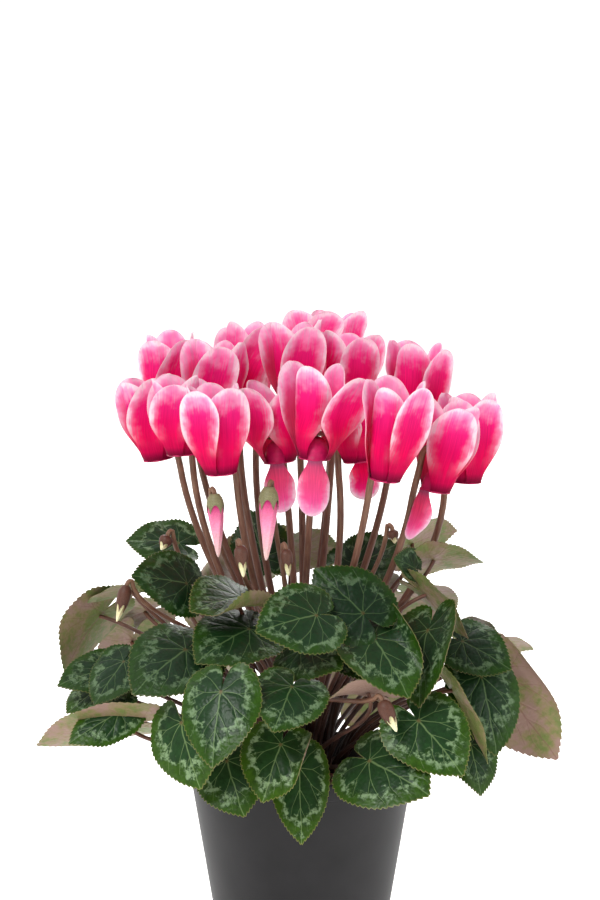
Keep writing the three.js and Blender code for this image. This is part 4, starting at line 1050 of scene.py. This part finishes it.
def petal_shape(bloom, petal):
    middle = petal_points(bloom, petal, PETAL_ALONG, PETAL_ACROSS)
    inward = edge_distance(bloom["petal"])
    thickness = 0.2 + 0.4 * smooth_rise(inward, 0, 4)
    traits = bloom["index"] * PETALS + petal
    sideways = PETAL_ACROSS * petal_half_width(PETAL_ALONG)
    upward = PETAL_ALONG * bloom["petal"] + 0 * sideways
    marks = {
        "petal_place": np.stack([PETAL_ALONG + 0 * inward, inward, 0 * inward], 2),
        "petal_grain": np.stack([sideways, upward, 0 * sideways + 30 * traits], 2),
    }
    return sheet(middle, thickness, marks)


print("petal of the first bloom:", len(petal_shape(blooms[0], 0)["points"]), "points")

# %% [markdown]
# The bell behind the petals is a small closed dome. At its open end the five petals turn outward round a
# thick ring, the darkest part of the flower. The mouth is not quite round: it swells a little under each
# petal. The bell could be left out, since the petals hide most of it, but from below its ring is the
# first thing that is seen.

# %% The bell and its mouth
BELL_PROFILE = [
    [0.4, 9.4], [1.6, 9.2], [3.6, 8.0], [5.4, 5.4], [6.3, 2.6], [6.7, 0.6], [7.3, -0.4], [8.0, -0.55],
    [8.45, -0.3], [8.5, 0.1], [8.2, 0.5], [7.7, 1.0], [7.5, 2.6], [7.1, 5.2], [6.2, 8.0], [4.6, 10.2],
    [2.6, 11.5], [0.4, 11.95],
]


def bell_shape(bloom):
    radius, height = np.array(BELL_PROFILE).T[:, :, None]
    turns = turns_of(40)
    swelling = 1 + 0.035 * np.cos(PETALS * turns - math.pi) * smooth_rise(radius, 5, 8)
    return {**capped(bloom_point(bloom, radius * swelling, turns, height + 0 * turns)), "finish": 1}


print("bell rings:", len(BELL_PROFILE))

# %% [markdown]
# A petal is deep crimson at the mouth, a strong pink through its middle and lighter above. A pale margin,
# near white at the very edge, runs round the upper part and breaks into fine streaks along the petal. The
# petal is soft and thin: light that falls on its far side glows through it. The ring round the mouth is
# thicker and holds the most pigment. Light could be scattered inside the petal for this. A share of
# translucent shader gives the same glow with less noise.

# %% Petal finish
# Streaks of about 0.8 mm across the petal, drawn out to 28 mm along it, and patches of 6 mm
PETAL_MARKS = ["petal_place", "petal_grain", "sheet_side"]
petal_skin, tree, place, grain, side = new_material("soft_two_coloured_petal", *PETAL_MARKS)
from_mouth, from_edge, _ = add(tree, "SeparateXYZ", [place]).outputs
colour = add(tree, "ValToRGB", [from_mouth], stops=[
    (0.0, "#78002e"), (0.05, "#a00040"), (0.12, "#da0056"), (0.3, "#f20464"),
    (0.5, "#f00c72"), (0.7, "#f2268a"), (0.86, "#f458aa"), (1.0, "#f492c8"),
])
drawn_out = add(tree, "VectorMath", [grain, (1.0, 0.03, 1.0)], operation="MULTIPLY")
streaks = add(tree, "TexNoise", {"Vector": drawn_out, "Scale": 1.2, "Detail": 4.0, "Roughness": 0.6})
patches = add(tree, "TexNoise", {"Vector": grain, "Scale": 0.16, "Detail": 2.0})
streak_shift = add(tree, "MapRange", [streaks, 0.3, 0.7, -1.6, 1.6])
patch_shift = add(tree, "MapRange", [patches, 0.3, 0.7, -1.5, 1.5])
shifts = add(tree, "Math", [streak_shift, patch_shift], operation="ADD")
inward = add(tree, "Math", [from_edge, shifts], operation="ADD")
high = add(tree, "MapRange", [from_mouth, 0.15, 0.75], **SOFT)
soft_margin = add(tree, "MapRange", [inward, 1.0, 7.6, 0.9, 0.0], **SOFT)
side_share = add(tree, "Math", [soft_margin, high], operation="MULTIPLY")
tip_pull = add(tree, "MapRange", [shifts, -2.0, 2.0, 0.12, -0.12])
pulled = add(tree, "Math", [from_mouth, tip_pull], operation="ADD")
tip_share = add(tree, "MapRange", [pulled, 0.7, 1.02, 0, 0.9], **SOFT)
soft_share = add(tree, "Math", [side_share, tip_share], operation="MAXIMUM")
pale_margin = add(tree, "MapRange", [inward, 0.4, 3.1, 1.0, 0.0], **SOFT)
pale_from = add(tree, "MapRange", [from_mouth, 0.2, 0.55, 0, 0.9], **SOFT)
pale_share = add(tree, "Math", [pale_margin, pale_from], operation="MULTIPLY")
inner_side = add(tree, "SeparateXYZ", [side]).outputs["X"]
inner_share = add(tree, "Math", [inner_side, 0.3], operation="MULTIPLY")
for share, paler in [(soft_share, "#fcc2e0"), (pale_share, "#fff6f8"), (inner_share, "#f698cc")]:
    colour = add(tree, "Mix", {0: share, 6: colour, 7: linear(paler)}, **COLOURS)
fine = add(tree, "MapRange", [streaks, 0.35, 0.65, 0.84, 1.06])
colour = add(tree, "HueSaturation", {"Value": fine, "Color": colour})
folds = add(tree, "Bump", {"Height": streaks, "Strength": 0.35, "Distance": 0.0004})
petal_surface = add(tree, "BsdfPrincipled", {
    "Base Color": colour, "Roughness": 0.6, "IOR": 1.36, "Specular IOR Level": 0.15, "Normal": folds,
})
glow = add(tree, "BsdfTranslucent", [colour])
petal_light = add(tree, "MixShader", [0.44, petal_surface, glow])
add(tree, "OutputMaterial", [petal_light])
print("petal finish:", len(tree.nodes), "nodes")

# %% Mouth finish
# Speckles of 2 mm
mouth_skin, tree, place = new_material("dark_crimson_mouth_ring", "turned_place")
speckle = add(tree, "TexNoise", {"Vector": place, "Scale": 0.5, "Detail": 2.0})
shade = add(tree, "ValToRGB", [speckle], stops=[(0.0, "#8e0040"), (1.0, "#c40a56")])
mouth_surface = add(tree, "BsdfPrincipled", {"Base Color": shade, "Roughness": 0.5, "IOR": 1.38})
add(tree, "OutputMaterial", [mouth_surface])
print("mouth finish:", mouth_skin.name)

# %% [markdown]
# ## Flower stalks and buds
#
# A flower stalk rises from the tuber, passes close by the mouth, hooks over above the bell and widens
# into the five pointed calyx that holds it. Buds nod on thinner stalks. Their petals are still wound
# round each other into a twisted point. Five separate petals could be wound up, but most of them would be
# hidden. A tube whose section has five lobes, turned along its length, shows the same folds.

# %% Stalk paths
# How many blooms stand on each ring of the tuber, and its radius
STALK_RINGS = [(1, 0), (5, 4.7), (10, 8.9)]
STALK_RADIUS, HOOK_RADIUS, HOOK_HEIGHT, CALYX_TOP = 1.9, 4.9, 18, 16.4
CLIMB_STEPS = 24

outward = sorted(blooms, key=lambda bloom: math.hypot(*bloom["mouth"][:2]))
for count, radius in STALK_RINGS:
    ring = sorted(outward[:count], key=lambda bloom: bearing_of(bloom["mouth"]))
    outward = outward[count:]
    for bloom, slot in zip(ring, spread([bearing_of(bloom["mouth"]) for bloom in ring])):
        bloom["foot"] = np.array([radius * math.cos(slot), radius * math.sin(slot), TUBER_TOP + CLEARANCE])


def climb_path(bloom, steps):
    start, passing = bloom["foot"], bloom_point(bloom, MOUTH_RADIUS + STALK_RADIUS + 1.1, 0, -6)
    rise = np.linalg.norm(passing - start)
    return bezier(start, start + 0.3 * rise * UP, passing - 0.35 * rise * bloom["up"], passing, steps)


def stalk_shapes(bloom):
    climb = climb_path(bloom, CLIMB_STEPS)
    turns = np.linspace(0, math.pi, 9)
    beside_out = np.array([MOUTH_RADIUS + STALK_RADIUS + 0.6, 2 * HOOK_RADIUS + 0.35])
    beside = bloom_point(bloom, beside_out, 0, np.array([2, 10]))
    hook = bloom_point(bloom, HOOK_RADIUS * (1 + np.cos(turns)), 0, HOOK_HEIGHT + HOOK_RADIUS * np.sin(turns))
    neck = bloom_point(bloom, np.zeros(3), 0, np.array([17.2, CALYX_TOP, 15.4]))
    path = np.concatenate([climb, beside, hook, neck])
    radii = STALK_RADIUS * np.interp(np.arange(len(path)), [0, CLIMB_STEPS, len(path) - 1], [1.1, 0.98, 0.84])
    calyx = bloom_point(bloom, np.zeros(7), 0, np.array([15.9, 15.2, 14.5, 13.8, 13.3, 12.9, 12.5]))
    widths = np.array([1.6, 2.0, 2.9, 3.9, 4.6, 4.9, 4.1])
    lobe_depth = [0, 0.02, 0.06, 0.1, 0.14, 0.16, 0.14]
    number = bloom["index"]
    return [tube(path, radii, 12, number), tube(calyx, widths, 30, number, lobes=5, lobe_depth=lobe_depth)]


print("highest stalk foot ring:", STALK_RINGS[-1][1], "mm from the axis")

# %% Bud shapes
# Share of the bud's length from its base, and width there as a share of its radius
BUD_SHAPE = [
    (0, 0.55), (0.05, 0.8), (0.15, 0.97), (0.3, 1.0), (0.45, 0.9), (0.6, 0.74), (0.75, 0.55), (0.88, 0.36),
    (0.96, 0.22), (1, 0.08),
]
BUD_STALK_RADIUS, BUD_HOOK_ARM, YOUNG_BUD_RADIUS = 1.3, 3, 3.5
CALYX_SHARES = {False: (0.16, 0.3), True: (0.5, 0.72)}


def bud_calyx(base, end, radius, number):
    """The cap of five sepals that holds a bud: short on a grown one, most of the length on a young one."""
    ahead = unit(end - base)
    side = unit(np.cross(ahead, UP + 0.01))
    other = np.cross(ahead, side)
    turns = turns_of(40)
    valley, point = CALYX_SHARES[radius < YOUNG_BUD_RADIUS]
    reach = point - (point - valley) * np.abs(np.sin(2.5 * turns)) ** 0.8
    shares = np.linspace(-0.03, 1, 12)[:, None] * reach
    wide = radius * np.interp(shares, *zip(*BUD_SHAPE)) * (1.06 + 0.1 * smooth_rise(shares, 0, 0.1)) + 0.15
    outward = np.cos(turns)[:, None] * side + np.sin(turns)[:, None] * other
    middle = base + shares[..., None] * (end - base) + wide[..., None] * outward
    along = shares * np.linalg.norm(end - base)
    marks = {
        "stalk_place": np.stack([3 * wide * turns, 200 + 8 * along, 0.35 + 0 * along], 2),
        "piece_seed": np.tile([float(number), 0.0, 0.0], (*shares.shape, 1)),
    }
    return sheet(middle, 0.35 + 0 * shares, marks, closed=True, finish=int(radius >= YOUNG_BUD_RADIUS))


def bud_shapes(row, number):
    joins, hook, tip, radius = row
    start = climb_path(blooms[joins - 1], 4)[1]
    top, end = np.array(hook, float), np.array(tip, float)
    climb = top[2] - start[2]
    onward = unit((end - top) * np.array([1, 1, 0]))
    path = bezier(start, start + 0.4 * climb * UP, top - BUD_HOOK_ARM * onward - 0.35 * climb * UP, top, 18)
    base = top + BUD_HOOK_ARM * onward - BUD_HOOK_ARM * UP
    bend = bezier(top, top + 1.6 * onward + 0.5 * UP, base + 1.6 * UP, base, 6)[1:]
    shares = np.interp(np.linspace(0, 9, 28), range(10), [share for share, _ in BUD_SHAPE])
    widths = radius * np.interp(shares, *zip(*BUD_SHAPE))
    body = base + shares[:, None] * (end - base)
    folds = 0.13 * smooth_rise(shares, 0.05, 0.3)
    winding = 4.4 / np.linalg.norm(end - base)
    wound = tube(body, widths, 30, number, lobes=5, lobe_depth=folds, spiral=winding)
    stalk = tube(np.concatenate([path, bend]), np.full(len(path) + len(bend), BUD_STALK_RADIUS), 10, number)
    return wound, [stalk, bud_calyx(base, end, radius, number)]


print("grown buds:", sum(row[3] >= YOUNG_BUD_RADIUS for row in BUDS), "of", len(BUDS))

# %% [markdown]
# A grown bud already has the pink of the bloom, paler towards its point. A young one is still cream.

# %% Bud finish
# Waves of about 1 mm across the wound petals
def wound_petals(name, colours):
    skin, tree, place = new_material(name, "stalk_place")
    to_point = add(tree, "SeparateXYZ", [place]).outputs["Z"]
    shade = add(tree, "ValToRGB", [to_point], stops=list(zip((0.2, 0.5, 1.0), colours)))
    wavy = add(tree, "TexNoise", {"Vector": place, "Scale": 1.1, "Detail": 2.0})
    fine = add(tree, "MapRange", [wavy, 0.3, 0.7, 0.88, 1.1])
    colour = add(tree, "HueSaturation", {"Value": fine, "Color": shade})
    surface = add(tree, "BsdfPrincipled", {
        "Base Color": colour, "Roughness": 0.5, "Subsurface Weight": 0.15,
        "Subsurface Radius": (1.0, 0.4, 0.3), "Subsurface Scale": 0.001,
    })
    add(tree, "OutputMaterial", [surface])
    return skin


grown_bud_skin = wound_petals("wound_petals_of_a_grown_bud", ["#c0206c", "#f08cb0", "#f8d2cc"])
young_bud_skin = wound_petals("cream_petals_of_a_young_bud", ["#a89c70", "#cfc690", "#f2ecc4"])
print("bud finishes:", grown_bud_skin.name, "and", young_bud_skin.name)

# %% Place every bloom, stalk and bud
for bloom in blooms:
    number = f"{bloom['index'] + 1:02d}"
    pink = [petal_shape(bloom, petal) for petal in range(PETALS)] + [bell_shape(bloom)]
    build("petals_" + number, pink, [petal_skin, mouth_skin], ["bloom_" + number], sharp=80)
    brown = stalk_shapes(bloom)
    for count, row in enumerate(BUDS, 1):
        if row[0] == bloom["index"] + 1:
            wound, green_parts = bud_shapes(row, 100 + count)
            brown += green_parts
            bud_skin = young_bud_skin if row[3] < YOUNG_BUD_RADIUS else grown_bud_skin
            build(f"wound_bud_{count}", [wound], [bud_skin], ["stalk_" + number], sharp=80)
    build("flower_stalk_" + number, brown, [stalk_skin, calyx_skin], ["stalk_" + number], sharp=70)
print("pieces:", len(PIECES), "faces in all:", sum(PIECES.values()))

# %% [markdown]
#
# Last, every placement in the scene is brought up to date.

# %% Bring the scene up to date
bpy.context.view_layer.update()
